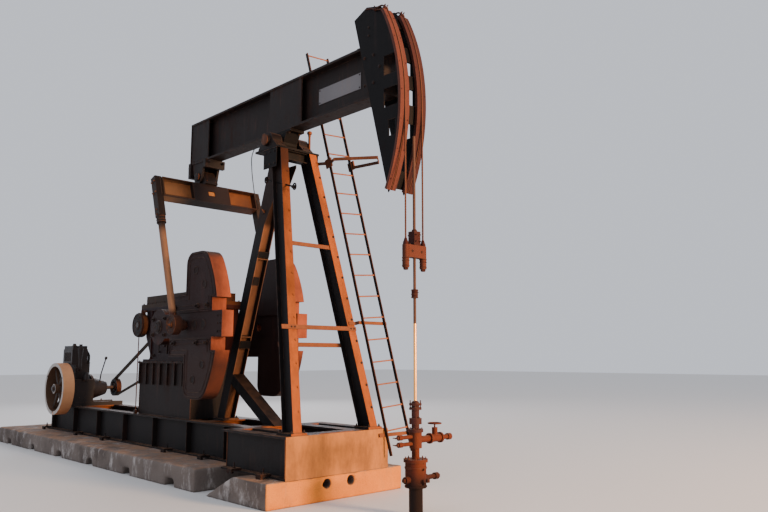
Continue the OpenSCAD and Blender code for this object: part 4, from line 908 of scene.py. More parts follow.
# %% Grease hose
HOSE_D = 0.014
hose_knots = [(-0.135, -0.340, 5.150), (-0.260, -0.330, 5.200), (-0.393, -0.300, 5.235),
              (-0.470, -0.300, 5.170), (-0.525, -0.290, 5.070), (-0.530, -0.280, 4.930),
              (-0.525, -0.270, 4.800), (-0.500, -0.260, 4.630), (-0.465, -0.250, 4.470),
              (-0.430, -0.200, 4.330), (-0.410, -0.130, 4.220)]
hose_path = smooth_path(hose_knots, 0.03)
parts = Parts()
sweep(parts, hose_path, HOSE_D / 2.0, 12)
hose = make_piece("grease_hose", parts, "hose", "base")
parts = Parts()
for place, way in ((hose_path[0], hose_path[1] - hose_path[0]),
                   (hose_path[-1], hose_path[-2] - hose_path[-1])):
    turned(parts, place - way.normalized() * 0.022, way, [(0.013, 0.0), (0.013, 0.022), (0.010, 0.030),
                                                          (0.010, 0.050)], 8)
block(parts, rear_point(4.215, 0.018, -0.117), (0.05, 0.028, 0.05))
make_piece("hose_fittings", parts, "dark_steel", "base")

# %% [markdown]
# ## Welds of the post and the skid
# Every seam that a fabricator closes leaves a bead. The beads catch light along the joints, and without
# them the plates look stuck together. A bump in the material can't change the outline, so each bead
# is a thin tube, half sunk, whose radius ripples along its length.

# %% Welds of the post and skid
SKID_LOW, SKID_TOP = 0.330, 0.880
parts = Parts()
for side in (-1, 1):
    for dx, half, z, radius in ((0.128, LEG_HALF_W, 0.912, 0.009), (0.16, 0.13, 0.882, 0.008)):
        for x in (LEG_FOOT[0] - dx, LEG_FOOT[0] + dx):
            weld(parts, (x, side * LEG_FOOT[1] - half, z), (x, side * LEG_FOOT[1] + half, z), radius)
    weld(parts, (-0.02, side * 0.400, 5.070), (0.32, side * 0.400, 5.070), 0.006)
    for x, y in ((1.376, 0.909), (-0.155, 0.819)):
        weld(parts, (x, side * y, SKID_LOW + 0.03), (x, side * y, SKID_TOP - 0.03), 0.008)
for y in (-0.805, 0.805):
    weld(parts, (1.378, y - 0.1, SKID_TOP - 0.004), (1.378, y + 0.1, SKID_TOP - 0.004), 0.007)
make_piece("post_welds", parts, "dark_steel", "base")

# %% [markdown]
# Stiffeners stand between the flanges of the skid's beams where a load comes down, and clamps with an
# anchor bolt hold the lower flange to the concrete. They are blocks with cut edges, since a box with
# sharp edges catches no light.

# %% Stiffeners and clamps of the skid
SKID_Y, WIDE_Y = 0.60, 0.99
parts = Parts()
for side in (-1, 1):
    for x in (-7.9, -6.7, -5.5, -4.3, -3.1, -1.9, -0.75):
        block(parts, (x, side * 0.472, (SKID_LOW + SKID_TOP) / 2),
              (0.012, 0.088, SKID_TOP - SKID_LOW - 0.060), 0.002)
    for x in (-8.0, -6.2, -4.9, -2.4, -1.2, 0.30, 1.00):
        y = SKID_Y if x < 0.0 else WIDE_Y
        block(parts, (x, side * (y - 0.01), SKID_LOW + 0.048), (0.12, 0.17, 0.030))
        block(parts, (x, side * (y + 0.052), SKID_LOW + 0.017), (0.12, 0.040, 0.032))
        bolt(parts, (x, side * (y - 0.01), SKID_LOW + 0.062), (0, 0, 1), 0.026, 0.05)
make_piece("skid_clamps", parts, "beam", "base")

# %% [markdown]
# ## Concrete blocks
# Cast blocks lose their sharp corners as they are handled. The plain block is copied, cut into small
# faces by the remesh modifier, smoothed a little and pushed in by noise, most of all along the edges.
# A bevel alone would leave the edges straight, and no old block has straight edges.

# %% Worn concrete
def worn_block(node, voxel, rounding, chip):
    """A copy of a concrete node with worn edges and a rough skin, in place of the plain one."""
    source = frame["nodes"][node]
    obj = bpy.data.objects.new(node + "_worn", source.data.copy())
    bpy.context.scene.collection.objects.link(obj)
    remesh = obj.modifiers.new("remesh", "REMESH")
    remesh.mode = "VOXEL"
    remesh.voxel_size = voxel
    depsgraph = bpy.context.evaluated_depsgraph_get()
    mesh = bpy.data.meshes.new_from_object(obj.evaluated_get(depsgraph))
    obj.modifiers.clear()
    obj.data = mesh
    low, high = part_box(node)
    bm = bmesh.new()
    bm.from_mesh(mesh)
    flat = [v.co.copy() for v in bm.verts]
    for _ in range(rounding):
        bmesh.ops.smooth_vert(bm, verts=bm.verts, factor=0.5, use_axis_x=True, use_axis_y=True,
                              use_axis_z=True)
    bm.normal_update()
    for v, old in zip(bm.verts, flat):
        lost = (v.co - old).length
        rough = noise.fractal(v.co * 2.2, 1.0, 2.0, 5)
        deep = max(0.0, noise.fractal(v.co * 5.0, 1.0, 2.0, 3) - 0.15)
        v.co = v.co - v.normal * (0.003 * abs(rough) + chip * deep * min(1.0, lost / (0.4 * voxel)))
        if old.z < low.z + 0.5 * voxel:
            v.co.z = low.z
        for axis in range(3):
            v.co[axis] = min(max(v.co[axis], low[axis]), high[axis])
    bm.to_mesh(mesh)
    bm.free()
    mesh.materials.clear()
    mesh.materials.append(finish["concrete"])
    mesh.shade_smooth()
    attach(obj, "base")
    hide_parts(node)
    print(obj.name, len(mesh.vertices), "points")


worn_block("front_footing", 0.018, 2, 0.05)
worn_block("rear_footings", 0.034, 2, 0.06)

# %% [markdown]
# ## Walking beam and horsehead
# The plates that close the beam are welded on, and the saddle and hanger are bolted to its flange. The
# head carries two tracks. A wire rope lies in the groove of each track, is held at the top by a hook
# and a clamp, and hangs down to the carrier bar. Each rope is one tube whose section has six lobes that
# turn along the way. Six separate strands would need many more faces for the same outline.

# %% Bolts and plates of the beam
BEAM_LOW, BEAM_TOP = 5.430, 6.210
BEAM_HALF_W = 0.1325
BEAM_TAIL, BEAM_FRONT = -2.820, 2.395
FLANGE_T = 0.034
PLATE_SIDE = -1
parts = Parts()
for side in (-1, 1):
    for x in (-0.22, -0.08, 0.08, 0.22):
        bolt(parts, (x, side * 0.095, BEAM_LOW + FLANGE_T), (0, 0, 1), 0.020, 0.015)
        bolt(parts, (x, side * 0.095, BEAM_LOW - 0.040), (0, 0, -1), 0.020, 0.010)
    for x in (-2.60, -2.50, -2.40, -2.30):
        bolt(parts, (x, side * 0.165, BEAM_LOW - 0.030), (0, 0, -1), 0.018, 0.010)
        bolt(parts, (x, side * 0.165, BEAM_LOW), (0, 0, 1), 0.018, 0.015)
    if side == PLATE_SIDE:
        for x in (0.875, 1.775):
            for z in (5.705, 5.895):
                bolt(parts, (x, -0.017, z), (0, -1, 0), 0.011)
    for x, z in ((2.02, 5.62), (2.02, 6.02), (2.20, 5.62), (2.20, 6.02), (2.32, 5.82)):
        bolt(parts, (x, side * 0.1465, z), (0, side, 0), 0.022)
    for z in (6.33, 6.45):
        bolt(parts, (2.10, side * 0.1465, z), (0, side, 0), 0.016)
for y in (-0.14, 0.14):
    for x0, way in ((-2.755, -1.0), (-2.155, 1.0)):
        turned(parts, (x0, y, 5.375), (way, 0, 0), [(0.022, 0.0), (0.022, 0.05), (0.019, 0.055),
                                                    (0.019, 0.085)], 6)
make_piece("beam_bolts", parts, "beam", "walking_beam")

# %% Welds of the beam and head
parts = Parts()
web_low, web_top = BEAM_LOW + FLANGE_T, BEAM_TOP - FLANGE_T
for side in (-1, 1):
    face = side * BEAM_HALF_W
    for x0, x1 in ((BEAM_TAIL, -2.21), (-0.29, 0.54)):
        for z in (web_low, web_top):
            weld(parts, (x0, face - side * 0.014, z), (x1, face - side * 0.014, z), 0.006, 0.022)
        for x in (x0, x1):
            weld(parts, (x, face - side * 0.028, web_low), (x, face - side * 0.028, web_top), 0.006, 0.022)
    for x0, x1 in ((-2.20, -0.30), (0.55, 2.37)):
        for z in (web_low, web_top):
            weld(parts, (x0, side * 0.010, z), (x1, side * 0.010, z), 0.006, 0.022)
    for z in (BEAM_TOP, BEAM_LOW):
        weld(parts, (1.85, side * 0.134, z), (BEAM_FRONT, side * 0.134, z), 0.006, 0.022)
make_piece("beam_welds", parts, "beam", "walking_beam")

# %% Points on the rope tracks
HEAD_R = 2.820
ROPE_Y = 0.158
HEAD_UP, HEAD_DOWN = 28.0, -25.0
TRACK_HALF_W = 0.0825


def head_point(angle, radius, y):
    """A point on the head: degrees above the level of the pivot, and metres from the pivot."""
    a = math.radians(angle)
    return Vector((radius * math.cos(a), y, PIVOT.z + radius * math.sin(a)))


# %% Ropes on the head
ROPE_R = 0.0125
ROPE_PITCH = 0.11
ROPE_STEP = 0.25
ROPE_ANGLE = 80.0
parts = Parts()
for side in (-1, 1):
    y = side * ROPE_Y
    on_track = [head_point(a * ROPE_STEP, HEAD_R, y) for a in range(0, int(HEAD_UP / ROPE_STEP) + 1)]
    way = (on_track[-1] - on_track[-2]).normalized()
    over = [on_track[-1] + way * far + Vector((back, 0.0, drop)) for far, back,
            drop in ((0.01, 0.0, 0.0), (0.04, 0.0, 0.0), (0.09, -0.02, -0.004), (0.14, -0.06, -0.02),
                     (0.17, -0.13, -0.05))]
    rope_path(parts, on_track + smooth_path(over, 0.012), ROPE_R, ROPE_PITCH)
head_rope = make_piece("head_wire_ropes", parts, "rope", "walking_beam", ROPE_ANGLE)
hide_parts("head_ropes")
# A thinner rope sunk in the lower groove, where rope winds on; its dark finish also paints the shade in the
# groove.
parts = Parts()
for side in (-1, 1):
    sunk = [head_point(HEAD_DOWN + 0.3 + a * 0.5, HEAD_R - 0.006, side * ROPE_Y) for a in range(50)]
    rope_path(parts, sunk, 0.009, ROPE_PITCH)
make_piece("groove_rope", parts, "rope", "walking_beam", ROPE_ANGLE)

# %% [markdown]
# At the crown each rope runs over the end of its track to a clamp, and its loose end points back past
# the head. Short keeper pins stand on both sides of the groove, so the rope can't jump out. A function
# turns an angle on the head into a point, and every pin and bead on the tracks is placed with it.

# %% Hooks and clamps of the crown
parts = Parts()
for side in (-1, 1):
    y = side * ROPE_Y
    top = head_point(HEAD_UP, HEAD_R, y)
    way = (top - head_point(HEAD_UP - 1.0, HEAD_R, y)).normalized()
    seat = Matrix.Translation(top + way * 0.045 + Vector((-0.035, 0, -0.02)))
    block(parts, seat @ Matrix.Rotation(-math.radians(HEAD_UP), 4, "Y"), (0.085, 0.070, 0.050))
    for dy in (0.022, -0.022):
        bolt(parts, top + way * 0.065 + Vector((0.005, dy, 0.010)), (0.88, 0.0, 0.47), 0.012, 0.012)
    end = top + Vector((-0.235, 0.0, 0.085))
    hook = [top + Vector((-0.10, 0.0, 0.045)), end, end + Vector((-0.10, -0.01 * side, 0.055)),
            end + Vector((-0.20, -0.01 * side, 0.075))]
    sweep(parts, smooth_path(hook, 0.02), 0.011, 8)
    sweep(parts, smooth_path([end + Vector((0.02, 0, -0.01)), end + Vector((-0.03, 0.03, 0.04)),
                              end + Vector((-0.08, 0.05, 0.10))], 0.02), 0.008, 8)
    turned(parts, end, (-0.8, 0, 0.4), [(0.018, -0.02), (0.024, -0.012), (0.024, 0.012), (0.018, 0.02)], 12)
    for a in (-22.0, -14.0, -6.0, 2.0, 10.0, 18.0, 25.0):
        for dy in (-1, 1):
            turned(parts, head_point(a, HEAD_R - 0.002, y + dy * 0.060), head_point(a, 1.0, 0) - PIVOT,
                   [(0.009, 0.0), (0.009, 0.006), (0.006, 0.009)], 8)
make_piece("crown_clamps", parts, "clamp", "walking_beam")

# %% Welds along the tracks
parts = Parts()
for side in (-1, 1):
    for dy in (-0.012, 0.014):
        path = [head_point(HEAD_DOWN + 0.5 + a * 0.5, HEAD_R - 0.044, side * 0.140 + dy * side)
                for a in range(105)]
        sweep(parts, path, ripples(0.006), 6)
    rim = [head_point(HEAD_DOWN + 0.2 + a * 0.5, HEAD_R - 0.020, side * (ROPE_Y + TRACK_HALF_W))
           for a in range(106)]
    sweep(parts, rim, 0.0035, 6)
make_piece("track_welds", parts, "track", "walking_beam")

# %% [markdown]
# ## Hanging ropes
# Below the level of the pivot the ropes hang straight to their sockets in the carrier bar. As the head
# rocks, rope winds on and off the track. The hanging piece is one fixed mesh in place of the frame's
# ropes, with no body to ride on.

# %% Bridle ropes
SOCKET_TOP = 3.310
parts = Parts()
count = round((PIVOT.z - SOCKET_TOP) / 0.012)
rope_foot = SOCKET_TOP - 0.01
for side in (-1, 1):
    rope_path(parts, [Vector((HEAD_R, side * ROPE_Y, rope_foot + (PIVOT.z - rope_foot) * i / count))
                      for i in range(count + 1)], ROPE_R, ROPE_PITCH)
bridle = make_piece("bridle_wire_ropes", parts, "rope", None, ROPE_ANGLE)
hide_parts("bridle_ropes")
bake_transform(bridle)

# %% Sockets and clamps of the carrier
parts = Parts()
for side in (-1, 1):
    for z in (3.035, 3.100, 3.135):
        turned(parts, (HEAD_R, side * ROPE_Y, z), (0, 0, 1), [(0.046, 0.0), (0.050, 0.004), (0.050, 0.010),
                                                              (0.046, 0.014)], 24)
    turned(parts, (HEAD_R, side * ROPE_Y, SOCKET_TOP - 0.002), (0, 0, 1),
           [(0.036, 0.0), (0.036, 0.03), (0.024, 0.06), (0.017, 0.085)], 16)
    turned(parts, (HEAD_R, side * ROPE_Y, 3.020), (0, 0, -1), [(0.034, -0.002), (0.034, 0.022),
                                                               (0.026, 0.032)], 6)
    for way in (1, -1):
        bolt(parts, (HEAD_R + way * 0.048, side * 0.085, 3.230), (way, 0, 0), 0.017, 0.010)
    bolt(parts, (HEAD_R, side * 0.085, SOCKET_TOP), (0, 0, 1), 0.017, 0.010)
make_piece("carrier_fittings", parts, "clamp", "polished_rod")

parts = Parts()
COLLAR_R = 0.046
for z in (3.360, 3.445):
    for side in (-1, 1):
        for way in (-1, 1):
            bolt(parts, (HEAD_R + way * 0.050, side * 0.036, z), (way, 0, 0), 0.016, 0.018)
turned(parts, (HEAD_R, 0.0, 3.490), (0, 0, 1), [(0.030, 0.0), (0.034, 0.004), (0.034, 0.020),
                                                (0.024, 0.030)], 20)
for z in (2.640, 2.680, 2.730):
    turned(parts, (HEAD_R, 0.0, z), (0, 0, 1),
           [(COLLAR_R - 0.006, 0.0), (COLLAR_R, 0.003), (COLLAR_R, 0.012), (COLLAR_R - 0.006, 0.015)], 24)
bolt(parts, (HEAD_R + 0.040, 0.0, 2.705), (1, 0, 0), 0.012, 0.02)
make_piece("rod_fittings", parts, "clamp", "polished_rod")

# %% [markdown]
# ## Equalizer and pitmans
# The equalizer hangs on the tail bearing and leans with the pitmans, so its pieces are placed in its
# own tilted frame: the origin is the tail bearing, and Z runs up along the pitmans. A small bright
# plate in the middle of its front face is painted light: it stands for a lit patch on the body.

# %% Frame of the equalizer
TAIL = Vector((-2.450, 0.0, 5.140))
CRANK = Vector((-2.450, 0.0, 2.415))
THROW = 0.920
PITMAN_Y = 1.000
PITMAN_L = math.hypot(THROW, TAIL.z - CRANK.z)
LEAN = math.atan2(THROW, TAIL.z - CRANK.z)
tilted = Matrix.Translation(TAIL) @ Matrix.Rotation(-LEAN, 4, "Y")
bar_up = tilted.to_3x3() @ Vector((0, 0, 1))


def bar_point(x, y, z):
    """A point in the tilted frame of the equalizer."""
    return tilted @ Vector((x, y, z))


def ring(parts, center, direction, radius, thick, count=40):
    """A raised ring round an axis."""
    place = facing(center, direction)
    angles = [2.0 * math.pi * i / count for i in range(count)]
    path = [place @ Vector((radius * math.cos(a), radius * math.sin(a), 0.0)) for a in angles]
    sweep(parts, path, thick, 8, closed=True)


# %% Bolts and rings of the equalizer
parts = Parts()
for side in (-1, 1):
    outer = side * (PITMAN_Y + 0.060)
    out = Vector((0, side, 0))
    for z in (-0.27, -0.48):
        for x in (-0.045, 0.045):
            bolt(parts, bar_point(x, outer, z), out, 0.022, 0.012)
    for z in (-0.80, -0.90):
        bolt(parts, bar_point(0.0, outer, z), out, 0.018, 0.010)
    for x in (-0.138, 0.138):
        bolt(parts, bar_point(x, side * 0.085, -0.145), bar_up, 0.020, 0.016)
    turned(parts, bar_point(0, side * 0.184, 0), out,
           [(0.078, -0.004), (0.078, 0.012), (0.066, 0.018)], 28)
    bolt_ring(parts, bar_point(0, side * 0.200, 0), out, 0.050, 4, 0.012)
    for z in (-0.945, -1.000, -1.045):
        ring(parts, bar_point(0, side * PITMAN_Y, z), bar_up, 0.076, 0.006, 28)
    wrist = bar_point(0, outer, -PITMAN_L)
    for radius, thick in ((0.150, 0.008), (0.112, 0.007), (0.078, 0.006)):
        ring(parts, wrist, out, radius, thick)
    bolt_ring(parts, wrist, out, 0.131, 8, 0.011)
    turned(parts, wrist, out, [(0.052, -0.002), (0.052, 0.020), (0.046, 0.026)], 24)
    bolt(parts, wrist + out * 0.024, out, 0.034, 0.016)
    turned(parts, wrist + Vector((0.0, 0.0, 0.155)) - out * 0.06, (0, 0, 1),
           [(0.010, 0.0), (0.010, 0.02), (0.006, 0.03)], 8)
make_piece("equalizer_bolts", parts, "dark_steel", "equalizer")

# %% Welds of the equalizer
parts = Parts()
for side in (-1, 1):
    for x in (-0.108, 0.108):
        for y in (side * 0.362, side * 0.985):
            weld(parts, bar_point(x, y, -0.535), bar_point(x, y, -0.215), 0.006)
    for z in (-0.218, -0.532):
        for x in (-0.009, 0.009):
            weld(parts, bar_point(x, side * 0.370, z), bar_point(x, side * 0.985, z), 0.006, 0.022)
    weld(parts, bar_point(-0.06, side * 1.012, -0.192), bar_point(0.06, side * 1.012, -0.192), 0.007)
make_piece("equalizer_welds", parts, "equalizer", "equalizer")

# %% Bright plate of the equalizer, a painted patch of light
parts = Parts()
# Painted light: a bright plate stands for a lit patch in the middle of the front face.
block(parts, tilted @ Matrix.Translation((0.092, 0.0, -0.375)), (0.012, 0.126, 0.086), 0.003)
make_piece("painted_light_plate", parts, "skid front", "equalizer")

# %% [markdown]
# ## Cranks and counterweights
# Each counterweight is a heavy casting with a raised lip round its face, clamped to the crank by bolts
# whose nuts stand proud. The crank has spare holes for the wrist pin, which change the stroke. The lip
# is a tube swept round the casting's outline, drawn a little smaller from the same arcs.

# %% Outline of a counterweight
CRANK_FACE = 0.805
WEIGHT_FACE = 0.830
RIM_R = 1.945
CORNER_R, CORNER_V = 0.300, 0.860


def arc_points(u, v, radius, start, stop, count):
    """Points on an arc about (u, v), from start to stop in degrees."""
    return [(u + radius * math.cos(math.radians(start + (stop - start) * i / count)),
             v + radius * math.sin(math.radians(start + (stop - start) * i / count)))
            for i in range(count + 1)]


def weight_lip(inset):
    """A closed line inside the outline of a counterweight, from the crank up."""
    corner_u = math.sqrt((RIM_R - CORNER_R) ** 2 - CORNER_V ** 2)
    slope = math.degrees(math.atan2(CORNER_V, corner_u))
    line = [(0.450 + inset, 0.200 + inset), (0.450 + inset, 0.505 - inset), (0.945 + inset, 0.505 - inset)]
    line += arc_points(1.135, 0.970, 0.190 - inset, 180, 90, 8)
    line += arc_points(corner_u, CORNER_V, CORNER_R - inset, 90, slope, 8)
    line += arc_points(0.0, 0.0, RIM_R - inset, slope - 2.0, 13.5, 14)
    line += [(1.770 - inset, 0.405 + 0.3 * inset), (1.770 - inset, 0.200 + inset)]
    return line


# %% Lips, nuts and spare holes
parts = Parts()
nuts = Parts()
for side in (-1, 1):
    out = Vector((0, side, 0))
    for half in (-1, 1):
        for inset, thick in ((0.030, 0.011), (0.105, 0.006)):
            line = [CRANK + Vector((u, side * WEIGHT_FACE, half * v)) for u, v in weight_lip(inset)]
            sweep(parts, line, thick, 6, closed=True)
        for u in (0.62, 1.34, 1.64):
            bolt(nuts, CRANK + Vector((u, side * WEIGHT_FACE, half * 0.290)), out, 0.046, 0.030)
        for u, v in ((1.25, 0.86), (1.52, 0.62)):
            hole = CRANK + Vector((u, side * WEIGHT_FACE, half * v))
            ring(parts, hole, out, 0.060, 0.009, 24)
            turned(nuts, hole, out, [(0.052, -0.003), (0.052, 0.001)], 24)
    for u in (1.20, 1.47):
        hole = CRANK + Vector((u, side * CRANK_FACE, 0))
        ring(parts, hole, out, 0.074, 0.008, 28)
        turned(nuts, hole, out, [(0.066, -0.003), (0.066, 0.002)], 28)
    turned(nuts, CRANK + Vector((0, side * 0.820, 0)), out, [(0.100, -0.003), (0.100, 0.010),
                                                             (0.090, 0.016)], 32)
    bolt_ring(nuts, CRANK + Vector((0, side * 0.836, 0)), out, 0.066, 6, 0.013)
    for x, z in ((-0.19, 0.13), (-0.19, -0.13), (0.22, 0.14), (0.22, -0.14)):
        bolt(nuts, CRANK + Vector((x, side * CRANK_FACE, z)), out, 0.036, 0.022)
    for x in (1.90, 1.97):
        for z in (-0.12, 0.0, 0.12):
            bolt(nuts, CRANK + Vector((x, side * CRANK_FACE, z)), out, 0.018, 0.0)
make_piece("weight_lips", parts, "plain iron", "cranks")
make_piece("crank_nuts", nuts, "plain iron", "cranks")

# %% [markdown]
# ## Gear reducer
# The two halves of the case are bolted along their flange. Covers over the shafts, a hatch, a breather,
# an oil gauge and a drain plug are what a mechanic touches, so they are all there. The round ones are
# lists of radius and height, as a lathe would cut them.

# %% Bolts and fittings of the reducer
CASE_HALF = 0.420
CASE_SIDE = -0.421
FLANGE_TOP, FLANGE_LOW = 2.880, 2.750
parts = Parts()
small = Parts()
for side in (-1, 1):
    for half, z, way, size in ((CASE_HALF, FLANGE_TOP, 1, 0.020), (0.431, FLANGE_LOW, -1, 0.012)):
        bolt_row(parts, (-3.84, side * half, z), (-1.90, side * half, z), 13, (0, 0, way), size, 0.010)
    bolt_ring(parts, (CRANK.x, side * 0.456, CRANK.z), (0, side, 0), 0.176, 8, 0.018)
    bolt_ring(parts, (-3.800, side * CASE_HALF, 2.500), (0, side, 0), 0.146, 8, 0.014, spin=0.39)
    for x in (-3.66, -3.54, -2.06, -1.94):
        bolt(parts, (x, side * 0.340, 1.870), (0, 0, 1), 0.026, 0.020)
for x in (-3.840, -1.880):
    bolt_row(parts, (x, -0.30, FLANGE_TOP), (x, 0.30, FLANGE_TOP), 4, (0, 0, 1), 0.020, 0.010)
hatch = [(x, y) for x in (-3.665, -3.49, -3.315) for y in (-0.175, 0.0, 0.175)]
hatch.remove((-3.49, 0.0))
for x, y in hatch:
    bolt(parts, (x, y, 3.054), (0, 0, 1), 0.014)
turned(small, (-2.62, 0.10, 3.028), (0, 0, 1), [(0.030, 0.0), (0.030, 0.03), (0.058, 0.04), (0.060, 0.070),
                                                (0.028, 0.082)], 24)
turned(small, (-2.95, CASE_SIDE, 2.120), (0, -1, 0), [(0.030, -0.004), (0.030, 0.020), (0.024, 0.026)], 20)
GAUGE_X, GAUGE_LOW, GAUGE_TOP = -3.12, 2.00, 2.24
for z in (GAUGE_LOW, GAUGE_TOP):
    turned(small, (GAUGE_X, CASE_SIDE, z), (0, -1, 0), [(0.015, -0.004), (0.015, 0.035), (0.011, 0.040)], 8)
sweep(small, [(GAUGE_X, CASE_SIDE - 0.025, GAUGE_LOW), (GAUGE_X, CASE_SIDE - 0.025, GAUGE_TOP)], 0.008, 10)
turned(small, (-3.36, CASE_SIDE, 1.935), (0, -1, 0), [(0.030, -0.004), (0.030, 0.014), (0.018, 0.015),
                                                      (0.018, 0.040)], 6)
for side in (-1, 1):
    for x in (-2.85, -2.60):
        block(small, (x, side * 0.428, 2.330), (0.022, 0.022, 0.74), 0.003)
    turned(small, (CRANK.x, side * 0.458, CRANK.z), (0, side, 0),
           [(0.150, -0.004), (0.150, 0.012), (0.138, 0.018)], 40)
make_piece("reducer_bolts", parts, "plain iron", "base")
make_piece("reducer_fittings", small, "plain iron", "base")

# %% [markdown]
# The pedestal is a welded box. Its corners show a seam, a row of small bolts runs along its top plate,
# and a bolted hand plate on the far side gives access to the inside.

# %% Pedestal seams and hand plate
SEAM_BACK, SEAM_FRONT, SEAM_LOW = -3.845, -1.955, 0.884
parts = Parts()
for side in (-1, 1):
    y = side * 0.431
    for x in (SEAM_BACK, SEAM_FRONT):
        weld(parts, (x, y, SEAM_LOW), (x, y, 1.795), 0.007, 0.020)
    weld(parts, (SEAM_BACK, y, SEAM_LOW), (SEAM_FRONT, y, SEAM_LOW), 0.008, 0.022)
    bolt_row(parts, (-3.83, side * 0.462, 1.830), (-1.97, side * 0.462, 1.830), 7, (0, 0, 1), 0.013, 0.008)
block(parts, (-2.90, 0.437, 1.200), (0.56, 0.012, 0.36), 0.004)
rows = [(x, z) for x in (-3.14, -2.90, -2.66) for z in (1.05, 1.35)]
for x, z in rows + [(-3.14, 1.20), (-2.66, 1.20)]:
    bolt(parts, (x, 0.443, z), (0, 1, 0), 0.013)
make_piece("pedestal_fittings", parts, "dark_iron", "base")

# %% [markdown]
# ## Brake and belt wheels
# The brake band closes with a screw and spring at the top, and its rod runs down to the skid. The belt
# wheels are held on their shafts by tapered hubs with three screws. The spring is a thin tube along a
# helix, which a few points for each turn describe well enough.

# %% Brake screw and hubs
INPUT = Vector((-3.800, 0.0, 2.500))
ENGINE = Vector((FLYWHEEL_X, 0.0, FLYWHEEL_Z))
BAND_Y = -0.494
SCREW_Z = INPUT.z + 0.245
COIL_R = 0.018
parts = Parts()
for dx in (-0.020, 0.020):
    block(parts, (INPUT.x + 0.10 + dx, BAND_Y, INPUT.z + 0.232), (0.012, 0.070, 0.080), 0.003)
sweep(parts, [(INPUT.x + 0.02, BAND_Y, SCREW_Z), (INPUT.x + 0.22, BAND_Y, SCREW_Z)], 0.009, 8)
coil = [(INPUT.x + 0.13 + 0.0018 * i, BAND_Y + COIL_R * math.cos(i * 0.8),
         SCREW_Z + COIL_R * math.sin(i * 0.8)) for i in range(42)]
sweep(parts, coil, 0.004, 6)
bolt(parts, (INPUT.x + 0.21, BAND_Y, SCREW_Z), (1, 0, 0), 0.018)
block(parts, (INPUT.x - 0.043, BAND_Y, 0.915), (0.060, 0.050, 0.070), 0.004)
drum_face = (INPUT.x, -0.556, INPUT.z)
turned(parts, drum_face, (0, -1, 0), [(0.092, -0.003), (0.092, 0.010), (0.062, 0.014), (0.062, 0.006)], 32)
bolt_ring(parts, drum_face, (0, -1, 0), 0.160, 6, 0.012)
ring(parts, drum_face, (0, -1, 0), 0.200, 0.007, 48)
for place, hub in ((INPUT, 0.115), (ENGINE, 0.078)):
    for way, y in ((1, 0.552), (-1, 0.448)):
        bolt_ring(parts, (place.x, y, place.z), (0, way, 0), hub * 0.80, 3, 0.011)
        ring(parts, (place.x, y, place.z), (0, way, 0), hub, 0.005, 32)
make_piece("brake_fittings", parts, "dark_iron", "base")

# %% [markdown]
# ## Engine
# The engine is a slow single with a radiator above it. It needs its plumbing and its small parts:
# a water hose, a magneto with a spark lead, an oil filler, an exhaust and the clutch lever. Hoses and
# pipes follow smooth curves through a few places, which is how a fitter bends them.

# %% Water hose and radiator cap
ENGINE_TOP = 1.750
UPWARD = (0, 0, 1)
NEARER = (0, -1, 0)
parts = Parts()
hoses = Parts()
hose_line = smooth_path([(-6.92, -0.272, 2.04), (-6.92, -0.215, 2.02), (-6.92, -0.175, 1.94),
                         (-6.93, -0.172, 1.82), (-6.93, -0.19, 1.735)], 0.02)
sweep(hoses, hose_line, 0.026, 14)
for end in (2, len(hose_line) - 4):
    turned(parts, hose_line[end], hose_line[end + 1] - hose_line[end], [(0.031, 0.0), (0.031, 0.014)], 20)
turned(parts, (-7.083, -0.435, 2.158), UPWARD,
       [(0.046, 0.0), (0.046, 0.010), (0.034, 0.016), (0.034, 0.040), (0.022, 0.046)], 20)
block(parts, (-7.083, -0.435, 2.180), (0.120, 0.018, 0.012), 0.003)
for x in (-7.235, -6.765):
    bolt_row(parts, (x, -0.575, 2.082), (x, -0.295, 2.082), 3, UPWARD, 0.012)

# %% Cylinder head, magneto and spark lead
bolt_ring(parts, (-7.0, -0.2403, ENGINE_TOP - 0.002), UPWARD, 0.078, 6, 0.015, 0.012)
turned(parts, (-6.612, -0.330, 1.430), UPWARD, [(0.060, 0.0), (0.060, 0.10), (0.045, 0.12), (0.030, 0.165)],
       24)
block(parts, (-6.640, -0.330, 1.440), (0.07, 0.10, 0.07), 0.006)
spark = smooth_path([(-6.612, -0.330, 1.590), (-6.60, -0.300, 1.70), (-6.70, -0.235, 1.80),
                     (-6.88, -0.235, 1.785)], 0.02)
sweep(hoses, spark, 0.006, 8)
turned(parts, (-6.895, -0.235, 1.745), UPWARD, [(0.014, 0.0), (0.014, 0.02), (0.008, 0.025), (0.008, 0.05)],
       6)

# %% Exhaust and oil filler
EXHAUST_R, EXHAUST_Y = 0.034, -0.50
bend = [(-6.655, 1.640), (-6.590, 1.650), (-6.560, 1.700), (-6.560, 1.900), (-6.560, 2.180)]
sweep(parts, smooth_path([(x, EXHAUST_Y, z) for x, z in bend], 0.03), EXHAUST_R, 16)
turned(parts, (-6.650, EXHAUST_Y, 1.640), (1, 0, 0), [(0.062, -0.004), (0.062, 0.014), (0.036, 0.016)], 20)
sweep(parts, [(-6.560, EXHAUST_Y, 1.86), (-6.560, EXHAUST_Y, 2.10)],
      lambda i: EXHAUST_R + 0.026 * (i % 3 == 1), 16)
turned(parts, (-7.22, -0.603, 1.62), NEARER, [(0.030, -0.004), (0.030, 0.040), (0.040, 0.042),
                                              (0.040, 0.062)], 16)

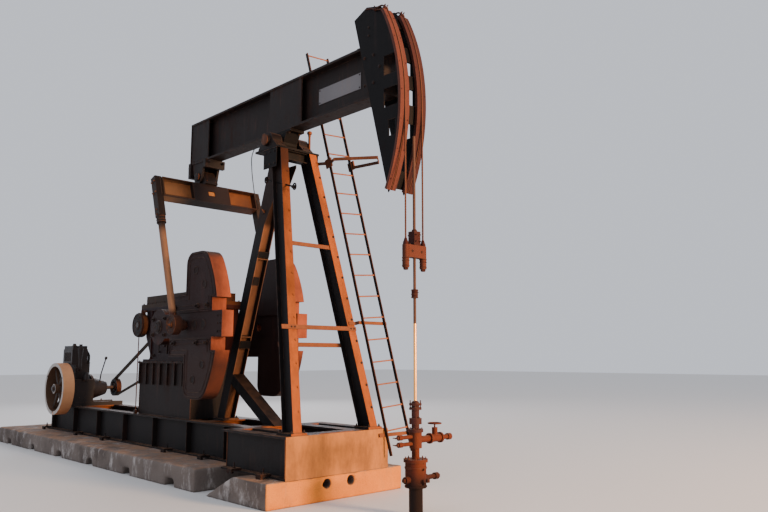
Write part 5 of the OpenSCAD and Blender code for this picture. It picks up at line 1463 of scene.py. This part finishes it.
# %% Covers, bolts and air cleaner
block(parts, (-6.83, -0.603, 1.20), (0.20, 0.014, 0.26), 0.004)
for x in (-6.91, -6.75):
    for z in (1.10, 1.30):
        bolt(parts, (x, -0.610, z), NEARER, 0.012)
for x in (-7.28, -6.72):
    for y in (-0.610, 0.30):
        bolt(parts, (x, y, 0.960), UPWARD, 0.022, 0.016)
bolt_row(parts, (-7.33, -0.599, 1.05), (-7.33, -0.599, 1.70), 5, NEARER, 0.013)
bolt_row(parts, (-6.649, -0.56, 1.06), (-6.649, -0.18, 1.06), 4, (1, 0, 0), 0.013)
AIR_X, AIR_Y = -7.52, -0.480
turned(parts, (AIR_X, AIR_Y, 1.618), UPWARD, [(0.100, 0.0), (0.118, 0.008), (0.112, 0.028), (0.020, 0.046)],
       28)
bolt(parts, (AIR_X, AIR_Y, 1.660), UPWARD, 0.018)
for z in (1.34, 1.50):
    ring(parts, (AIR_X, AIR_Y, z), UPWARD, 0.101, 0.006, 36)
make_piece("engine_fittings", parts, "engine", "base")
make_piece("engine_hoses", hoses, "hose", "base")

# %% Clutch lever and flywheel hub
parts = Parts()
bolt_ring(parts, (ENGINE.x, -0.092, ENGINE.z), (0, 1, 0), 0.284, 10, 0.013)
turned(parts, (ENGINE.x, 0.238, ENGINE.z), (0, 1, 0), [(0.130, -0.004), (0.130, 0.014), (0.070, 0.018)], 32)
grip = ENGINE + Vector((0.44, 0.05, 0.62))
sweep(parts, [ENGINE + Vector((0.16, 0.06, 0.12)), ENGINE + Vector((0.21, 0.06, 0.30)), grip], 0.013, 10)
turned(parts, grip, (0.35, 0.0, 0.5),
       [(0.012, -0.01), (0.026, 0.010), (0.030, 0.034), (0.024, 0.058), (0.008, 0.068)], 14)
block(parts, ENGINE + Vector((0.15, 0.06, 0.11)), (0.06, 0.05, 0.07), 0.005)
HUB_FACE = Vector((0.0, -0.850, 0.0))
turned(parts, ENGINE + HUB_FACE, NEARER, [(0.074, -0.004), (0.074, 0.006), (0.062, 0.010)], 32)
bolt_ring(parts, ENGINE + HUB_FACE, NEARER, 0.080, 6, 0.011)
for i in range(3):
    a = 0.5 + i * 2.0 * math.pi / 3
    turned(parts, ENGINE + HUB_FACE + Vector((0.485 * math.cos(a), 0.0, 0.485 * math.sin(a))), NEARER,
           [(0.020, -0.004), (0.020, 0.004), (0.014, 0.006)], 12)
make_piece("clutch_fittings", parts, "engine", "base")

# %% [markdown]
# ## Wellhead
# Flanges are drawn up by studs, the gland by four long ones, and the plugs have square heads for a
# wrench. Grease and paint stay in the corners, so the small pieces share the red finish. Rings of
# bolts come from one helper, which needs only an axis, a radius and a count.

# %% Studs and plugs of the wellhead
WELL_X = HEAD_R
BRANCH_Z = 0.895
OUTLET_Z = 0.430
parts = Parts()
bolt_ring(parts, (WELL_X, 0, 0.670), (0, 0, 1), 0.122, 8, 0.015, 0.014)
bolt_ring(parts, (WELL_X, 0, 0.634), (0, 0, -1), 0.1405, 8, 0.0075, 0.006)
for z in (0.380, 0.550):
    for way in (-1, 1):
        block(parts, (WELL_X + way * 0.143, 0.0, z + 0.006), (0.030, 0.034, 0.022), 0.003)
        bolt(parts, (WELL_X + way * 0.150, 0.016, z + 0.006), (0, 1, 0), 0.008)
for y in (0.404, -0.204):
    block(parts, (WELL_X, y, OUTLET_Z), (0.042, 0.036, 0.042), 0.004)
block(parts, (WELL_X + 0.200, 0.0, OUTLET_Z), (0.036, 0.042, 0.042), 0.004)
block(parts, (WELL_X, 0.646, BRANCH_Z), (0.042, 0.036, 0.042), 0.004)
for z in (BRANCH_Z - 0.042, BRANCH_Z + 0.042):
    turned(parts, (WELL_X, -0.300, z), (0, -1, 0), [(0.018, -0.004), (0.018, 0.020), (0.009, 0.024),
                                                    (0.009, 0.050)], 8)
    sweep(parts, [(WELL_X - 0.045, -0.345, z), (WELL_X + 0.045, -0.345, z)], 0.006, 8)
bolt_ring(parts, (WELL_X, 0.241, BRANCH_Z), (0, -1, 0), 0.056, 4, 0.009)
bolt_ring(parts, (WELL_X, 0.459, BRANCH_Z), (0, 1, 0), 0.056, 4, 0.009)
make_piece("wellhead_bolts", parts, "red_iron", "base")

# %% Gland of the stuffing box
gland = Parts()
bolt_ring(gland, (WELL_X, 0, 1.026), (0, 0, 1), 0.082, 6, 0.011, 0.010)
for i in range(4):
    a = math.pi / 4 + i * math.pi / 2
    x, y = WELL_X + 0.063 * math.cos(a), 0.063 * math.sin(a)
    turned(gland, (x, y, 1.255), (0, 0, 1), [(0.007, 0.0), (0.007, 0.116), (0.005, 0.120)], 10)
    for z in (1.338, 1.286):
        bolt(gland, (x, y, z), (0, 0, 1), 0.011)
turned(gland, (WELL_X + 0.045, 0.0, 1.165), (1, 0, 0), [(0.012, -0.004), (0.012, 0.016), (0.007, 0.020),
                                                        (0.007, 0.032)], 8)
turned(gland, (WELL_X, 0.0, 1.350), (0, 0, 1), [(0.040, -0.004), (0.040, 0.010), (0.030, 0.016)], 24)
make_piece("stuffing_fittings", gland, "stuffing box", "base")

# %% [markdown]
# ## Ladder
# Each rung is welded into the rails, and the beads show as small collars. They follow from the foot and
# head of the ladder and the pitch of its rungs, so nothing is placed one by one.

# %% Collars of the rungs
LADDER_FOOT = Vector((1.505, 0.864, 0.500))
LADDER_HEAD = Vector((0.075, 0.330, 6.850))
RUNG_FIRST, RUNG_PITCH = 0.354, 0.337
RAIL_TO_MIDDLE = 0.220
up = (LADDER_HEAD - LADDER_FOOT).normalized()
parts = Parts()
across = (Vector((0.0, 1.0, 0.0)) - up * up.y).normalized()
count = 0
while RUNG_FIRST + count * RUNG_PITCH < (LADDER_HEAD - LADDER_FOOT).length:
    middle = LADDER_FOOT + up * (RUNG_FIRST + count * RUNG_PITCH) + across * RAIL_TO_MIDDLE
    for side in (-1, 1):
        turned(parts, middle + across * side * RUNG_HALF, across * side,
               [(0.012, -0.006), (0.017, 0.0), (0.017, 0.006)], 12)
    count += 1
make_piece("rung_welds", parts, "ladder", "base")
print(count, "rungs")
